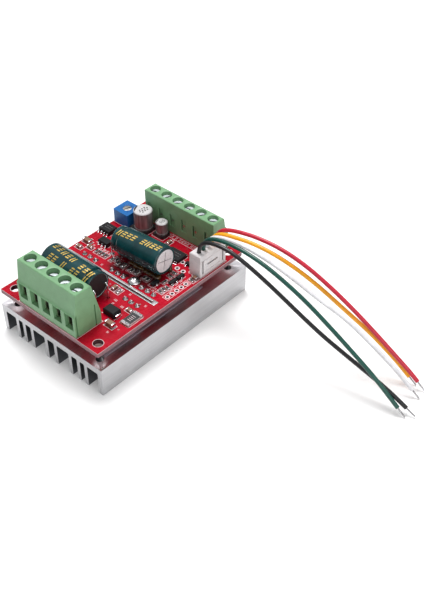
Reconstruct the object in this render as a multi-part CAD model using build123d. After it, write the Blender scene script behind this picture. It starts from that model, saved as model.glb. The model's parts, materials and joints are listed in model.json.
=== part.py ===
"""Motor driver module: a populated circuit board on a finned heatsink, with a five-way power
terminal block, a six-way signal terminal block and a five-way plug with flying wires.

Units are millimetres. The row frame has its origin at the middle of the heatsink's underside,
+X across the short side, +Y from the power terminals to the signal terminals, and +Z up.
Parts on the circuit board are placed from the front left corner of its top face.
"""
from build123d import *
import math
import os

os.makedirs("parts", exist_ok=True)

# Heatsink -------------------------------------------------------------------------------------
HEATSINK_WIDTH = 44.6
HEATSINK_LENGTH = 64.6
HEATSINK_HEIGHT = 10.1
HEATSINK_PLATE = 2.2
FIN_OFFSETS = (2.07, 8.6, 12.25, 15.4)  # inner fins, each side of the middle
FIN_THICKNESS = 1.3
WALL_THICKNESS = 1.7
FIN_TIP_RADIUS = 0.35
FIN_ROOT_RADIUS = 0.5
M3_TAP_RADIUS = 1.25
THERMAL_PAD = (2.6, 40.4, 4.7, 47.0)  # x and y extents, on the board

# Circuit board --------------------------------------------------------------------------------
BOARD_WIDTH = 43.0
BOARD_LENGTH = 63.0
BOARD_THICKNESS = 1.6
BOARD_FRONT_MARGIN = 0.1  # from the heatsink's front edge
BOARD_GAP = 4.7  # between heatsink and board, filled by pad and transistors
BOARD_HOLE_RADIUS = 1.55
BOARD_HOLE_INSET = 3.2
BUS_TRACK = (0.8, 40.4, 25.3, 27.3, 0, 0.12)  # x, y and z extents of the tinned track
BUS_BAR = (1.2, 39.2, 25.85, 26.4, 0, 0.85)  # and of the bar soldered along it

# Power transistors, flat under the board ------------------------------------------------------
PAD_THICKNESS = 0.3
TAB_THICKNESS = 1.3
TRANSISTOR_WIDTH = 10.2
TRANSISTOR_BODY_LENGTH = 9.0
TRANSISTOR_TAB_LENGTH = 15.3  # body and bare tab together
TRANSISTOR_HEIGHT = 4.3
TAB_HOLE_FROM_END = 2.8
TAB_HOLE_RADIUS = 1.85
LEAD_PITCH = 2.54
LEAD_WIDTH = 0.8
LEAD_THICKNESS = 0.5
LEAD_HEIGHT = 2.5  # lead middle above the tab's underside
LEAD_REACH = 1.9  # from the body's end to the rising lead
LEAD_ABOVE_BOARD = 0.75
TRANSISTOR_COLUMNS = (8.75, 21.2, 34.2)
LEAD_ROW_BACK = 28.9  # transistors behind it
LEAD_ROW_FRONT = 22.0  # transistors in front of it
FEED_JOINT = (27.9, 29.35, 0)  # a heavy joint between two lead groups, where the bus is fed
FEED_JOINT_RADIUS = 1.95
FEED_JOINT_HEIGHT = 1.1
BUSHING_FLANGE_RADIUS = 2.9
BUSHING_FLANGE = 0.5
BUSHING_BORE_RADIUS = 1.55
SCREW_HEAD_RADIUS = 2.7
SCREW_HEAD_HEIGHT = 1.9
SCREW_RADIUS = 1.5
SCREW_ENGAGEMENT = 1.9
SCREW_ROOT_CLEARANCE = 0.01
CROSS_RECESS = (1.3, 0.3, 1.0)  # half length, half width and depth

# Terminal blocks ------------------------------------------------------------------------------
POLE_PITCH = 5.0
CAVITY_HALF_WIDTH = 2.15
CLAMP_HALF_WIDTH = 1.85
CLAMP_WALL = 0.4
BAR_HALF_WIDTH = 1.0
ENTRY_WIDTH = 3.4
CLAMP_GAP = 0.3
THREAD_CLEARANCE = 0.05
CAVITY_FLOOR = 0.5
SHANK_HOLE_CLEARANCE = 0.15
TOP_CHAMFER = 0.2

# Outlines are seen from the side: y from the screw axis, the wire entry at -y, and z up.
FRONT_BLOCK = dict(
    poles=5,
    height=15.2,
    outline=((-4.32, 0), (-4.32, 7.6), (-3.72, 8.2), (-2.92, 15.2), (2.98, 15.2), (5.68, 4), (5.68, 0)),
    well_radius=1.95,
    entry=(2.3, 7.5),
    head_radius=1.75,
    head_height=1.6,
    head_bottom=12.0,
    shank_radius=1.25,
    throat=0.5,
    clamp_half_depth=2.2,
    clamp=(0.9, 2.7, 7.7, 8.7),
    bar=(6.6, 7.4),
)
REAR_BLOCK = dict(
    poles=6,
    height=12.0,
    outline=((-4.42, 0), (-4.42, 6.9), (-3.02, 8.4), (-2.42, 12), (2.63, 12), (2.28, 0)),
    well_radius=1.78,
    entry=(1.6, 5.8),
    head_radius=1.6,
    head_height=1.4,
    head_bottom=9.5,
    shank_radius=1.25,
    throat=0.5,
    clamp_half_depth=1.6,
    clamp=(0.7, 1.9, 5.9, 6.9),
    bar=(4.9, 5.6),
)
FRONT_BLOCK_AXIS = (11.26, 4.62)  # first pole, on the board
REAR_BLOCK_AXIS = (10.16, 57.88)
PIN_HALF_WIDTH = 0.45
CONTACT_THICKNESS = 0.5
CONTACT_WINDOW = 1.3  # half the width of the way through it
PIN_BELOW_BOARD = 1.4
JOINING_GROOVES = (-3.6, 3.6)
GROOVE_WIDTH = 0.45
GROOVE_CUT = 0.5
GROOVE_TOP = 7.8
# The signal block's windows, in its inner face: each has a floor that slants down to a slit.
WINDOW_HEIGHTS = (2.9, 7.4)
WINDOW_SIDES = (-0.6, 1.65)
WINDOW_FLOORS = (2.32, 2.1)  # at those two sides, from the screw's axis
WINDOW_SILL = 0.4  # below the slit
SLIT_WIDTH = 0.5
TIP_HALF_WIDTH = 0.32  # of the bar's end, which shows in the window
TIP_OFFSET = 0.37
TIP_REACH = 2.3
TIP_CLEARANCE = 0.05

# Power capacitors, lying almost along X -------------------------------------------------------
SLEEVE_THICKNESS = 0.13
SLEEVE_LIP = 0.95  # how far the sleeve turns in over each end
GROOVE_FROM_END = 2.4
GROOVE_DEPTH = 0.75
GROOVE_HALF_WIDTH = 0.9
NECK_DEPTH = 0.4  # the can is narrower between the groove and the seal
CAN_CORNER = 0.5
SEAL_INSET = 1.0  # from the can's full radius
SEAL_LENGTH = 1.8
SEAL_RECESS = 0.25
VENT_SCORE = (3.1, 0.09, 0.12)  # half length, half width and depth
CAPACITOR_LEAD_RADIUS = 0.3
CAPACITOR_LEAD_OFFSET = 2.5
CAPACITOR_LEAD_RUN = 1.3
CAPACITOR_LEAD_BEND = 0.8
# Middle of the seal end, middle of the vent end, radius, and the leads' lowest z: the second
# one's are cut off flush, because a transistor lies under them.
CAPACITORS = (
    ((26.1, 16.5, 5.3), (5.3, 16.5, 5.3), 5.0, -3.0),
    ((13.9, 37.35, 5.3), (33.5, 37.65, 6.15), 4.75, -BOARD_THICKNESS),
)

# Small can capacitors: x, y, can radius, height -----------------------------------------------
CAN_CAPACITORS = ((10.75, 51.05, 3.15, 7.7), (17.65, 52.6, 2.0, 5.4))
CAN_BOTTOM = 0.35
CAN_TOP_CHAMFER = 0.25
CAN_WAIST = (1.45, 2.05, 0.25)  # bottom, top and depth
CAN_BASE_HEIGHT = 1.0
CAN_BASE_MARGIN = 0.15
CAN_BASE_CUT = 0.35  # of the can's radius, off two corners

# Trimmer --------------------------------------------------------------------------------------
TRIMMER_SIZE = 6.6
TRIMMER_HEIGHT = 4.9
TRIMMER_CENTRE = (3.5, 50.9)
ROTOR_RADIUS = 1.45
ROTOR_HEIGHT = 2.2
ROTOR_CLEARANCE = 0.05
ROTOR_RECESS = 0.05
ROTOR_SLOT_ANGLE = 70
TRIMMER_PIN_SPOTS = ((-2.54, -2.3), (0, 2.3), (2.54, -2.3))  # from its centre
TRIMMER_PIN_RADIUS = 0.3
TRIMMER_PIN_TOP = 0.8
SLOT_WIDTH = 0.5
SLOT_DEPTH = 0.7

# Signal connector -----------------------------------------------------------------------------
WAYS = 5
WAY_PITCH = 2.0
HEADER_CENTRE = (39.96, 49.95)
HEADER_LENGTH = 11.9
HEADER_DEPTH = 4.5
HEADER_HEIGHT = 6.0
HEADER_WALL = 0.5
HEADER_END_WALL = 0.7
HEADER_FLOOR = 1.0
HEADER_PIN = 0.5
HEADER_PIN_TOP = 5.6
KEY_SLOT_WIDTH = 0.7
KEY_SLOT_FROM_END = 0.6
OUTER_PANEL = (3.4, 1.4, 4.6, 0.15)  # half length, bottom, top and depth
OUTER_SLIT = (2.4, 3.2, 3.9)  # half length, bottom and top
PLUG_TOP = 8.1
PLUG_CLEARANCE = 0.2
PLUG_LIFT = 0.3  # above the header's floor
FLANGE_INSET = 0.05
FLANGE_CHAMFER = 0.25
WIRE_HOLE_CLEARANCE = 0.1
WIRE_SOCKET_DEPTH = 1.1
CONTACT_WIDTH = 1.3
CONTACT_BORE = 0.9
CONTACT_CLOSED_END = 1.1

# Wires ----------------------------------------------------------------------------------------
WIRE_DIAMETER = 1.3
TIP_DIAMETER = 0.55
TIP_LENGTH = 3.4
# Each route starts on its crimp inside the plug, then rises and falls to the resting surface.
# Points are in the row frame.
WIRE_ROUTES = {
    "black_wire": (
        (18.46, 13.75, 23.4), (18.46, 13.75, 26.2), (20.0, 13.9, 28.7), (22.8, 14.15, 30.0),
        (26.8, 14.5, 30.4), (31.6, 14.95, 29.7), (38.2, 15.5, 27.2), (46.2, 16.2, 23.4),
        (54.4, 16.95, 19.0), (63.0, 17.75, 14.6), (72.6, 18.7, 10.8), (82.0, 19.55, 7.3),
        (88.2, 20.15, 4.4), (92.0, 20.5, 2.3),
    ),
    "green_wire": (
        (18.46, 15.75, 23.4), (18.46, 15.75, 26.3), (20.0, 15.8, 29.0), (22.9, 15.9, 30.5),
        (27.3, 16.1, 31.4), (33.4, 16.35, 31.4), (40.8, 16.65, 30.2), (48.6, 17.0, 27.6),
        (56.8, 17.35, 24.1), (65.6, 17.7, 19.2), (73.8, 18.0, 14.3), (81.4, 18.3, 9.5),
        (87.2, 18.55, 5.0), (90.2, 18.7, 2.55),
    ),
    "white_wire": (
        (18.46, 17.75, 23.4), (18.46, 17.75, 26.0), (19.9, 17.9, 28.4), (22.7, 18.3, 29.7),
        (26.9, 18.9, 30.3), (32.7, 19.7, 30.0), (40.2, 20.8, 28.3), (48.4, 22.0, 25.3),
        (57.2, 23.3, 21.4), (66.6, 24.5, 18.4), (75.6, 25.6, 13.0), (83.2, 26.6, 7.9),
        (87.2, 27.15, 4.6), (89.5, 27.5, 2.55),
    ),
    "yellow_wire": (
        (18.46, 19.75, 23.4), (18.46, 19.75, 26.0), (19.9, 20.0, 28.4), (22.6, 20.5, 29.6),
        (26.6, 21.2, 30.0), (32.4, 22.2, 30.2), (39.6, 23.45, 29.2), (47.4, 24.8, 26.8),
        (55.2, 26.2, 23.2), (63.8, 27.7, 18.2), (72.4, 29.2, 13.4), (79.8, 30.5, 7.9),
        (83.7, 31.2, 4.6), (85.9, 31.55, 2.6),
    ),
    "red_wire": (
        (18.46, 21.75, 23.4), (18.46, 21.75, 26.2), (20.0, 22.0, 28.9), (22.9, 22.35, 30.4),
        (27.2, 22.9, 31.3), (33.2, 23.7, 31.8), (41.0, 24.75, 31.2), (49.4, 25.85, 28.8),
        (57.6, 26.95, 24.8), (66.0, 28.1, 19.8), (74.4, 29.2, 14.0), (82.0, 30.2, 8.4),
        (86.6, 30.85, 5.0), (89.0, 31.15, 2.85),
    ),
}

# Small parts on the board's top ---------------------------------------------------------------
# gull-wing packages: centre x, centre y, body x, body y, height, leads on the -Y side, leads on
# the +Y side, pitch, span and turn
GULL_WING = (
    (2.85, 42.4, 4.9, 3.9, 1.55, 4, 4, 1.27, 6.0, 0),
    (7.3, 36.9, 4.2, 2.6, 1.5, 3, 3, 1.5, 4.0, 0),
    (28.6, 47.1, 6.5, 4.4, 1.1, 10, 10, 0.65, 6.4, 0),
    (33.5, 32.9, 2.9, 1.3, 1.0, 2, 1, 1.9, 2.4, -90),
    (37.2, 37.0, 2.9, 1.3, 1.0, 2, 1, 1.9, 2.4, 90),
    (37.2, 40.3, 2.9, 1.3, 1.0, 2, 1, 1.9, 2.4, -90),
    (35.4, 46.6, 2.9, 1.3, 1.0, 2, 1, 1.9, 2.4, 0),
)
LEAD_SHEET = 0.16
PACKAGE_LIFT = 0.1
PACKAGE_CHAMFER = 0.12
DIODE = (33.7, 14.6, 4.4, 3.2, 2.2)  # centre x, centre y, body x, body y, height
DIODE_CHAMFER = 0.25
DIODE_TAB_WIDTH = 1.9
DIODE_TAB_REACH = 0.55
# chip parts: centre x, centre y, length, width, height, whether the length lies along X
CHIP_RESISTORS = (
    (39.8, 16.6, 6.3, 3.2, 0.65, False),
    (27.9, 23.0, 2.0, 1.25, 0.5, False),
    (8.2, 32.4, 1.6, 0.8, 0.45, False),
    (9.6, 32.4, 1.6, 0.8, 0.45, False),
    (11.0, 32.4, 1.6, 0.8, 0.45, False),
    (12.4, 32.4, 1.6, 0.8, 0.45, False),
    (15.0, 32.5, 1.6, 0.8, 0.45, False),
    (16.5, 33.3, 1.6, 0.8, 0.45, False),
    (17.9, 32.4, 1.6, 0.8, 0.45, False),
    (20.0, 32.8, 2.0, 1.25, 0.55, False),
    (22.6, 32.8, 1.6, 0.8, 0.45, False),
    (23.8, 32.8, 1.6, 0.8, 0.45, False),
    (25.6, 33.1, 2.0, 1.25, 0.55, False),
    (29.2, 32.8, 1.6, 0.8, 0.45, False),
    (30.5, 32.8, 1.6, 0.8, 0.45, False),
    (37.4, 31.2, 1.6, 0.8, 0.45, True),
    (37.4, 32.5, 1.6, 0.8, 0.45, True),
    (37.8, 33.9, 1.6, 0.8, 0.45, True),
    (35.2, 35.6, 1.6, 0.8, 0.45, False),
    (34.6, 38.7, 1.6, 0.8, 0.45, True),
    (34.6, 40.6, 1.6, 0.8, 0.45, True),
    (40.9, 41.4, 1.6, 0.8, 0.45, True),
)
CHIP_CAPACITORS = (
    (37.0, 10.6, 3.2, 1.6, 1.6, True),
    (25.8, 23.2, 2.0, 1.25, 0.9, False),
    (36.6, 18.9, 2.0, 1.25, 0.8, True),
    (2.3, 33.7, 3.2, 1.6, 1.3, True),
    (2.4, 30.0, 2.0, 1.25, 1.0, True),
    (5.2, 32.2, 2.0, 1.25, 0.9, True),
    (22.4, 50.8, 2.0, 1.25, 0.8, False),
    (35.0, 49.3, 1.6, 0.8, 0.8, False),
    (40.9, 42.9, 2.0, 1.25, 0.9, True),
)
END_CAP_SHARE = 0.16  # of the chip's length, at each end
END_CAP_SKIN = 0.05
PROGRAMMING_HOLES = tuple((40.6, 31.0 + 2.04 * i) for i in range(5))
EMPTY_HOLES = ((33.3, 43.1), (35.8, 43.1), (32.6, 46.4), *PROGRAMMING_HOLES)

# Drilled hole radii ---------------------------------------------------------------------------
LEAD_HOLE_RADIUS = 0.55
TERMINAL_HOLE_RADIUS = 0.65
CAPACITOR_HOLE_RADIUS = 0.45
HEADER_HOLE_RADIUS = 0.42
TRIMMER_HOLE_RADIUS = 0.4
EMPTY_HOLE_RADIUS = 0.36

# Solder: radius of the hole left for the lead, reach over the board, and height ---------------
TRANSISTOR_SOLDER = (0.48, 0.95, 0.95)
TERMINAL_SOLDER = (0.53, 1.1, 1.0)
CAPACITOR_SOLDER_BELOW = (0.31, 0.9, 0.9)
CAPACITOR_SOLDER_ABOVE = (0.31, 0.9, 0.7)
HEADER_SOLDER = (0.37, 0.75, 0.9)
TRIMMER_SOLDER = (0.31, 0.75, 0.8)

BOARD_BOTTOM = HEATSINK_HEIGHT + BOARD_GAP
BOARD = Pos(-BOARD_WIDTH / 2, BOARD_FRONT_MARGIN - HEATSINK_LENGTH / 2, BOARD_BOTTOM + BOARD_THICKNESS)
TAB_UNDERSIDE = -BOARD_THICKNESS - BOARD_GAP + PAD_THICKNESS  # from the board's top face
PIN_END = -BOARD_THICKNESS - PIN_BELOW_BOARD


def block(x0, x1, y0, y1, z0, z1):
    """A box between two corners."""
    return Pos((x0 + x1) / 2, (y0 + y1) / 2, (z0 + z1) / 2) * Box(x1 - x0, y1 - y0, z1 - z0)


def rod(x, y, z0, z1, radius):
    """An upright cylinder."""
    return Pos(x, y, (z0 + z1) / 2) * Cylinder(radius, z1 - z0)


def extrude_along_x(points, half_width):
    """A prism with an outline in the YZ plane, symmetric about x = 0."""
    face = Plane.YZ * make_face(Polyline(*points, close=True))
    return extrude(face, half_width, both=True)


def save(name, solids, place=Pos(0, 0, 0)):
    """Write one node from a solid or a group of separate solids."""
    group = solids if isinstance(solids, (list, tuple)) else [solids]
    flat = [s for shape in group for s in (place * shape).solids()]
    export_step(flat[0] if len(flat) == 1 else Compound(children=flat), f"parts/{name}.step")


# Heatsink and board ---------------------------------------------------------------------------
def corner_holes():
    """The four board holes' places, on the board."""
    across = (BOARD_HOLE_INSET, BOARD_WIDTH - BOARD_HOLE_INSET)
    along = (BOARD_HOLE_INSET, BOARD_LENGTH - BOARD_HOLE_INSET)
    return [(x, y) for x in across for y in along]


def transistor_sites():
    """Each transistor: lead row's middle x and y, and the direction of its body from there."""
    rows = ((LEAD_ROW_BACK, 1), (LEAD_ROW_FRONT, -1))
    return [(x, y, side) for y, side in rows for x in TRANSISTOR_COLUMNS]


def tab_hole(x, y, side):
    """The middle of a transistor's mounting hole, on the board."""
    return x, y + side * (LEAD_REACH + TRANSISTOR_TAB_LENGTH - TAB_HOLE_FROM_END)


def heatsink():
    """An extruded plate with ten fins, and tapped holes in its top face."""
    plate_bottom = HEATSINK_HEIGHT - HEATSINK_PLATE
    profile = Pos(0, HEATSINK_HEIGHT - HEATSINK_PLATE / 2) * Rectangle(HEATSINK_WIDTH, HEATSINK_PLATE)
    fins = [(sign * x, FIN_THICKNESS) for x in FIN_OFFSETS for sign in (-1, 1)]
    outer = (HEATSINK_WIDTH - WALL_THICKNESS) / 2
    fins += [(-outer, WALL_THICKNESS), (outer, WALL_THICKNESS)]
    fin_height = plate_bottom + HEATSINK_PLATE / 2
    for x, thickness in fins:
        profile += Pos(x, fin_height / 2) * Rectangle(thickness, fin_height)
    inside = [v for v in profile.vertices() if abs(v.Y - plate_bottom) < 0.05 and abs(v.X) < outer]
    profile = fillet(inside, FIN_ROOT_RADIUS)
    tips = [v for v in profile.vertices() if v.Y < 0.1]
    profile = fillet(tips, FIN_TIP_RADIUS)
    body = extrude(Plane.XZ * profile, HEATSINK_LENGTH / 2, both=True)
    body -= [BOARD * rod(x, y, -20, 0, M3_TAP_RADIUS) for x, y in corner_holes()]
    for site in transistor_sites():
        x, y = tab_hole(*site)
        top = -BOARD_THICKNESS - BOARD_GAP
        body -= BOARD * rod(x, y, top - SCREW_ENGAGEMENT - 0.1, top + 1, M3_TAP_RADIUS)
    return body


def insulating_pad():
    """A thin thermal pad under all the transistors, with a hole for each screw."""
    bottom = -BOARD_THICKNESS - BOARD_GAP
    pad = block(*THERMAL_PAD, bottom, bottom + PAD_THICKNESS)
    for site in transistor_sites():
        x, y = tab_hole(*site)
        pad -= rod(x, y, bottom - 1, bottom + 1, TAB_HOLE_RADIUS)
    return pad


def board_holes():
    """Every drilled hole: x, y and radius."""
    holes = [(x, y, BOARD_HOLE_RADIUS) for x, y in corner_holes()]
    holes += [(x, y, LEAD_HOLE_RADIUS) for x, y in transistor_leads()]
    holes += [(x, y, TERMINAL_HOLE_RADIUS) for x, y in terminal_pins()]
    holes += [(x, y, CAPACITOR_HOLE_RADIUS) for x, y in capacitor_lead_ends()]
    holes += [(x, y, HEADER_HOLE_RADIUS) for x, y in header_pins_at()]
    holes += [(x, y, TRIMMER_HOLE_RADIUS) for x, y in trimmer_pins_at()]
    holes += [(x, y, EMPTY_HOLE_RADIUS) for x, y in EMPTY_HOLES]
    return holes


def circuit_board():
    board = block(0, BOARD_WIDTH, 0, BOARD_LENGTH, -BOARD_THICKNESS, 0)
    return board - [rod(x, y, -BOARD_THICKNESS - 1, 1, r) for x, y, r in board_holes()]


def solder_fillet(x, y, hole, reach, height, side):
    """A concave cone of solder round a lead, on the board's top (side 1) or underside (-1)."""
    rim = ThreePointArc((reach, 0.06), ((hole + reach) / 2 - 0.08, height * 0.38), (hole + 0.12, height))
    outline = Polyline(rim @ 1, (hole, height), (hole, 0), (reach, 0), rim @ 0)
    cone = revolve(Plane.XZ * make_face([rim, outline]), Axis.Z)
    if side > 0:
        return Pos(x, y, 0) * cone
    return Pos(x, y, -BOARD_THICKNESS) * Rot(180, 0, 0) * cone


def solder_joints():
    """Every joint: those of the leads that end above the board, those below, and the feed joint."""
    joints = [solder_fillet(x, y, *TRANSISTOR_SOLDER, 1) for x, y in transistor_leads()]
    joints += [solder_fillet(x, y, *TERMINAL_SOLDER, -1) for x, y in terminal_pins()]
    joints += [solder_fillet(x, y, *CAPACITOR_SOLDER_BELOW, -1) for x, y in capacitor_lead_ends()[:2]]
    joints += [solder_fillet(x, y, *CAPACITOR_SOLDER_ABOVE, 1) for x, y in capacitor_lead_ends()[2:]]
    joints += [solder_fillet(x, y, *HEADER_SOLDER, -1) for x, y in header_pins_at()]
    joints += [solder_fillet(x, y, *TRIMMER_SOLDER, -1) for x, y in trimmer_pins_at()]
    reach = FEED_JOINT_RADIUS + 1
    above_board = block(-reach, reach, -reach, reach, 0, FEED_JOINT_HEIGHT)
    joints.append(Pos(*FEED_JOINT) * (Sphere(FEED_JOINT_RADIUS) & above_board))
    return joints


def bus_strip():
    """A tinned bar soldered along a wide track between the two lead rows."""
    return block(*BUS_TRACK) + block(*BUS_BAR)


# Power transistors ----------------------------------------------------------------------------
def transistor_leads():
    """Where each transistor lead comes up through the board."""
    return [(x + i * LEAD_PITCH, y) for x, y, _ in transistor_sites() for i in (-1, 0, 1)]


def transistor_parts():
    """Bodies, tabs, leads, screws and bushings of all the transistors, each a list."""
    bodies, tabs, leads, screws, bushings = [], [], [], [], []
    half = TRANSISTOR_WIDTH / 2
    turn = {1: Rot(0, 0, 0), -1: Rot(0, 0, 180)}
    for x, y, side in transistor_sites():
        place = Pos(x, y, TAB_UNDERSIDE) * turn[side]
        start = LEAD_REACH
        end = start + TRANSISTOR_TAB_LENGTH
        shell = block(-half, half, start, start + TRANSISTOR_BODY_LENGTH, 0, TRANSISTOR_HEIGHT)
        tab = block(-half, half, start + 1.0, end, 0, TAB_THICKNESS)
        hole_y = end - TAB_HOLE_FROM_END
        tab -= rod(0, hole_y, -1, 3, TAB_HOLE_RADIUS)
        bodies.append(place * (shell - tab))
        tabs.append(place * tab)
        for i in (-1, 0, 1):
            leads.append(place * Pos(i * LEAD_PITCH, 0, 0) * bent_lead(start))
        bushings.append(place * Pos(0, hole_y, 0) * transistor_bushing())
        screws.append(place * Pos(0, hole_y, 0) * transistor_screw())
    return bodies, tabs, leads, screws, bushings


def transistor_bushing():
    """An insulating sleeve in the tab's hole, with a flange under the screw's head."""
    bushing = rod(0, 0, TAB_THICKNESS, TAB_THICKNESS + BUSHING_FLANGE, BUSHING_FLANGE_RADIUS)
    bushing += rod(0, 0, -PAD_THICKNESS, TAB_THICKNESS, TAB_HOLE_RADIUS - 0.02)
    return bushing - rod(0, 0, -1, 3, BUSHING_BORE_RADIUS)


def transistor_screw():
    """A pan head screw through tab and pad into the heatsink."""
    head_seat = TAB_THICKNESS + BUSHING_FLANGE
    head_top = head_seat + SCREW_HEAD_HEIGHT
    tip = -PAD_THICKNESS - SCREW_ENGAGEMENT
    screw = rod(0, 0, head_seat, head_top, SCREW_HEAD_RADIUS)
    screw += rod(0, 0, -PAD_THICKNESS, head_seat, SCREW_RADIUS)
    screw += rod(0, 0, tip, -PAD_THICKNESS, M3_TAP_RADIUS - SCREW_ROOT_CLEARANCE)
    long, wide, deep = CROSS_RECESS
    bar = block(-long, long, -wide, wide, head_top - deep, head_top + 1)
    return screw - (bar + Rot(0, 0, 90) * bar)


def bent_lead(body_start):
    """A lead from the body's end, back to y = 0, then up through the board."""
    half = LEAD_THICKNESS / 2
    top = LEAD_ABOVE_BOARD - TAB_UNDERSIDE
    outline = (
        (body_start, LEAD_HEIGHT - half), (0.35, LEAD_HEIGHT - half), (-half, LEAD_HEIGHT + 0.35),
        (-half, top), (half, top), (half, LEAD_HEIGHT + half + 0.1), (0.45, LEAD_HEIGHT + half),
        (body_start, LEAD_HEIGHT + half),
    )
    return extrude_along_x(outline, LEAD_WIDTH / 2)


# Terminal blocks ------------------------------------------------------------------------------
def block_place(which):
    """A block's first pole on the board, with its wire entries facing outwards."""
    if which is FRONT_BLOCK:
        return Pos(FRONT_BLOCK_AXIS[0], FRONT_BLOCK_AXIS[1], 0)
    last = REAR_BLOCK_AXIS[0] + POLE_PITCH * (REAR_BLOCK["poles"] - 1)
    return Pos(last, REAR_BLOCK_AXIS[1], 0) * Rot(0, 0, 180)


def plate_span(b):
    """The contact plate's y range: it stands between the clamp and the wire entry."""
    inner = -(b["clamp_half_depth"] + CLAMP_GAP)
    return inner - CONTACT_THICKNESS, inner


def terminal_pins():
    """Where each terminal pin goes through the board."""
    pins = []
    for b in (FRONT_BLOCK, REAR_BLOCK):
        y0, y1 = plate_span(b)
        for i in range(b["poles"]):
            spot = block_place(b) * Pos(i * POLE_PITCH, (y0 + y1) / 2, 0)
            pins.append((spot.position.X, spot.position.Y))
    return pins


def terminal_housing(b):
    """The moulded body, with a screw well, a clamp cavity and a wire entry for each pole."""
    width = POLE_PITCH * b["poles"]
    middle = width / 2 - POLE_PITCH / 2
    body = Pos(middle, 0, 0) * extrude_along_x(b["outline"], width / 2)
    top_edges = [e for e in body.edges() if e.center().Z > b["height"] - 0.01]
    body = chamfer(top_edges, TOP_CHAMFER)
    y0, y1 = plate_span(b)
    depth = b["clamp_half_depth"] + CLAMP_GAP
    cavity_top = b["head_bottom"] - b["throat"]
    shank_hole = b["shank_radius"] + SHANK_HOLE_CLEARANCE
    front = b["outline"][0][0]
    half, entry_half = CAVITY_HALF_WIDTH, ENTRY_WIDTH / 2
    hollow = block(-half, half, y1, depth, CAVITY_FLOOR, cavity_top)
    hollow += block(-half, half, y0, y1 + 0.1, -1, b["bar"][1] + 0.1)
    hollow += rod(0, 0, cavity_top - 0.1, b["head_bottom"] + 0.1, shank_hole)
    hollow += rod(0, 0, b["head_bottom"], b["height"] + 1, b["well_radius"])
    hollow += block(-entry_half, entry_half, front - 1, y0 + 0.1, *b["entry"])
    return body - [Pos(i * POLE_PITCH, 0, 0) * hollow for i in range(b["poles"])]


def front_housing():
    """The power block's housing, with the grooves that join it to a neighbour."""
    body = terminal_housing(FRONT_BLOCK)
    sides = (-POLE_PITCH / 2, POLE_PITCH * (FRONT_BLOCK["poles"] - 0.5))
    half = GROOVE_WIDTH / 2
    for side in sides:
        for y in JOINING_GROOVES:
            body -= block(side - GROOVE_CUT, side + GROOVE_CUT, y - half, y + half, -1, GROOVE_TOP)
    return body


def rear_housing():
    """The signal block's housing, with a window on each pole in its inner face."""
    low, high = WINDOW_HEIGHTS
    (shallow, deep), (near, far) = WINDOW_FLOORS, WINDOW_SIDES
    outside, inside = TIP_REACH + 1, REAR_BLOCK["clamp_half_depth"]
    floor = make_face(Polyline((near, shallow), (far, deep), (far, outside), (near, outside), close=True))
    window = Pos(0, 0, low) * extrude(floor, high - low)
    window += block(far - SLIT_WIDTH, far, inside, outside, low + WINDOW_SILL, high)
    window += tip_form(inside, TIP_CLEARANCE)
    return terminal_housing(REAR_BLOCK) - [
        Pos(i * POLE_PITCH, 0, 0) * window for i in range(REAR_BLOCK["poles"])
    ]


def tip_form(start, clearance=0.0):
    """The narrow end of the signal block's bar, or the hole that it stands in."""
    low, high = REAR_BLOCK["bar"]
    half = TIP_HALF_WIDTH + clearance
    return block(TIP_OFFSET - half, TIP_OFFSET + half, start, TIP_REACH, low - clearance, high + clearance)


def terminal_contacts(b):
    """One contact a pole: a plate with a window for the wire, a bar through the clamp, and a pin."""
    y0, y1 = plate_span(b)
    bar_bottom, bar_top = b["bar"]
    wide = CLAMP_HALF_WIDTH + 0.1
    contact = block(-wide, wide, y0, y1, 0.1, bar_top)
    contact -= block(-CONTACT_WINDOW, CONTACT_WINDOW, y0 - 1, y1 + 1, b["clamp"][1], bar_bottom)
    bar_end = b["clamp_half_depth"] - CLAMP_GAP
    contact += block(-BAR_HALF_WIDTH, BAR_HALF_WIDTH, y0, bar_end, bar_bottom, bar_top)
    if b is REAR_BLOCK:
        contact += tip_form(bar_end - 0.1)
    contact += block(-PIN_HALF_WIDTH, PIN_HALF_WIDTH, y0, y1, PIN_END, 0.2)
    return [Pos(i * POLE_PITCH, 0, 0) * contact for i in range(b["poles"])]


def clamp_cage(b):
    """A rising clamp, fully open: a square ring with a thread in its top wall."""
    bottom, floor_top, roof_bottom, top = b["clamp"]
    half, depth = CLAMP_HALF_WIDTH, b["clamp_half_depth"]
    cage = block(-half, half, -depth, depth, bottom, top)
    cage -= block(CLAMP_WALL - half, half - CLAMP_WALL, -depth - 1, depth + 1, floor_top, roof_bottom)
    return cage - rod(0, 0, roof_bottom - 0.1, top + 1, b["shank_radius"] + THREAD_CLEARANCE)


def terminal_screw(b):
    """A slotted screw with a plain shank that stands for its thread."""
    seat = b["head_bottom"] + 0.02
    head_top = seat + b["head_height"]
    screw = rod(0, 0, seat, head_top, b["head_radius"])
    screw = chamfer([e for e in screw.edges() if e.center().Z > head_top - 0.01], 0.2)
    screw += rod(0, 0, b["bar"][1] + 0.1, seat, b["shank_radius"])
    slot_bottom = head_top - SLOT_DEPTH
    return screw - block(-3, 3, -SLOT_WIDTH / 2, SLOT_WIDTH / 2, slot_bottom, head_top + 1)


def save_terminal_block(name, b, housing, slot_angles):
    """Write a block's housing, contacts, and each pole's own screw and clamp."""
    place = BOARD * block_place(b)
    save(f"{name}_terminal_housing", housing, place)
    save(f"{name}_terminal_contacts", terminal_contacts(b), place)
    for i in range(b["poles"]):
        pole = place * Pos(i * POLE_PITCH, 0, 0)
        # poles are numbered from -X to +X
        number = i + 1 if b is FRONT_BLOCK else b["poles"] - i
        save(f"{name}_screw_{number}", terminal_screw(b), pole * Rot(0, 0, slot_angles[number - 1]))
        save(f"{name}_clamp_{number}", clamp_cage(b), pole)


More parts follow.
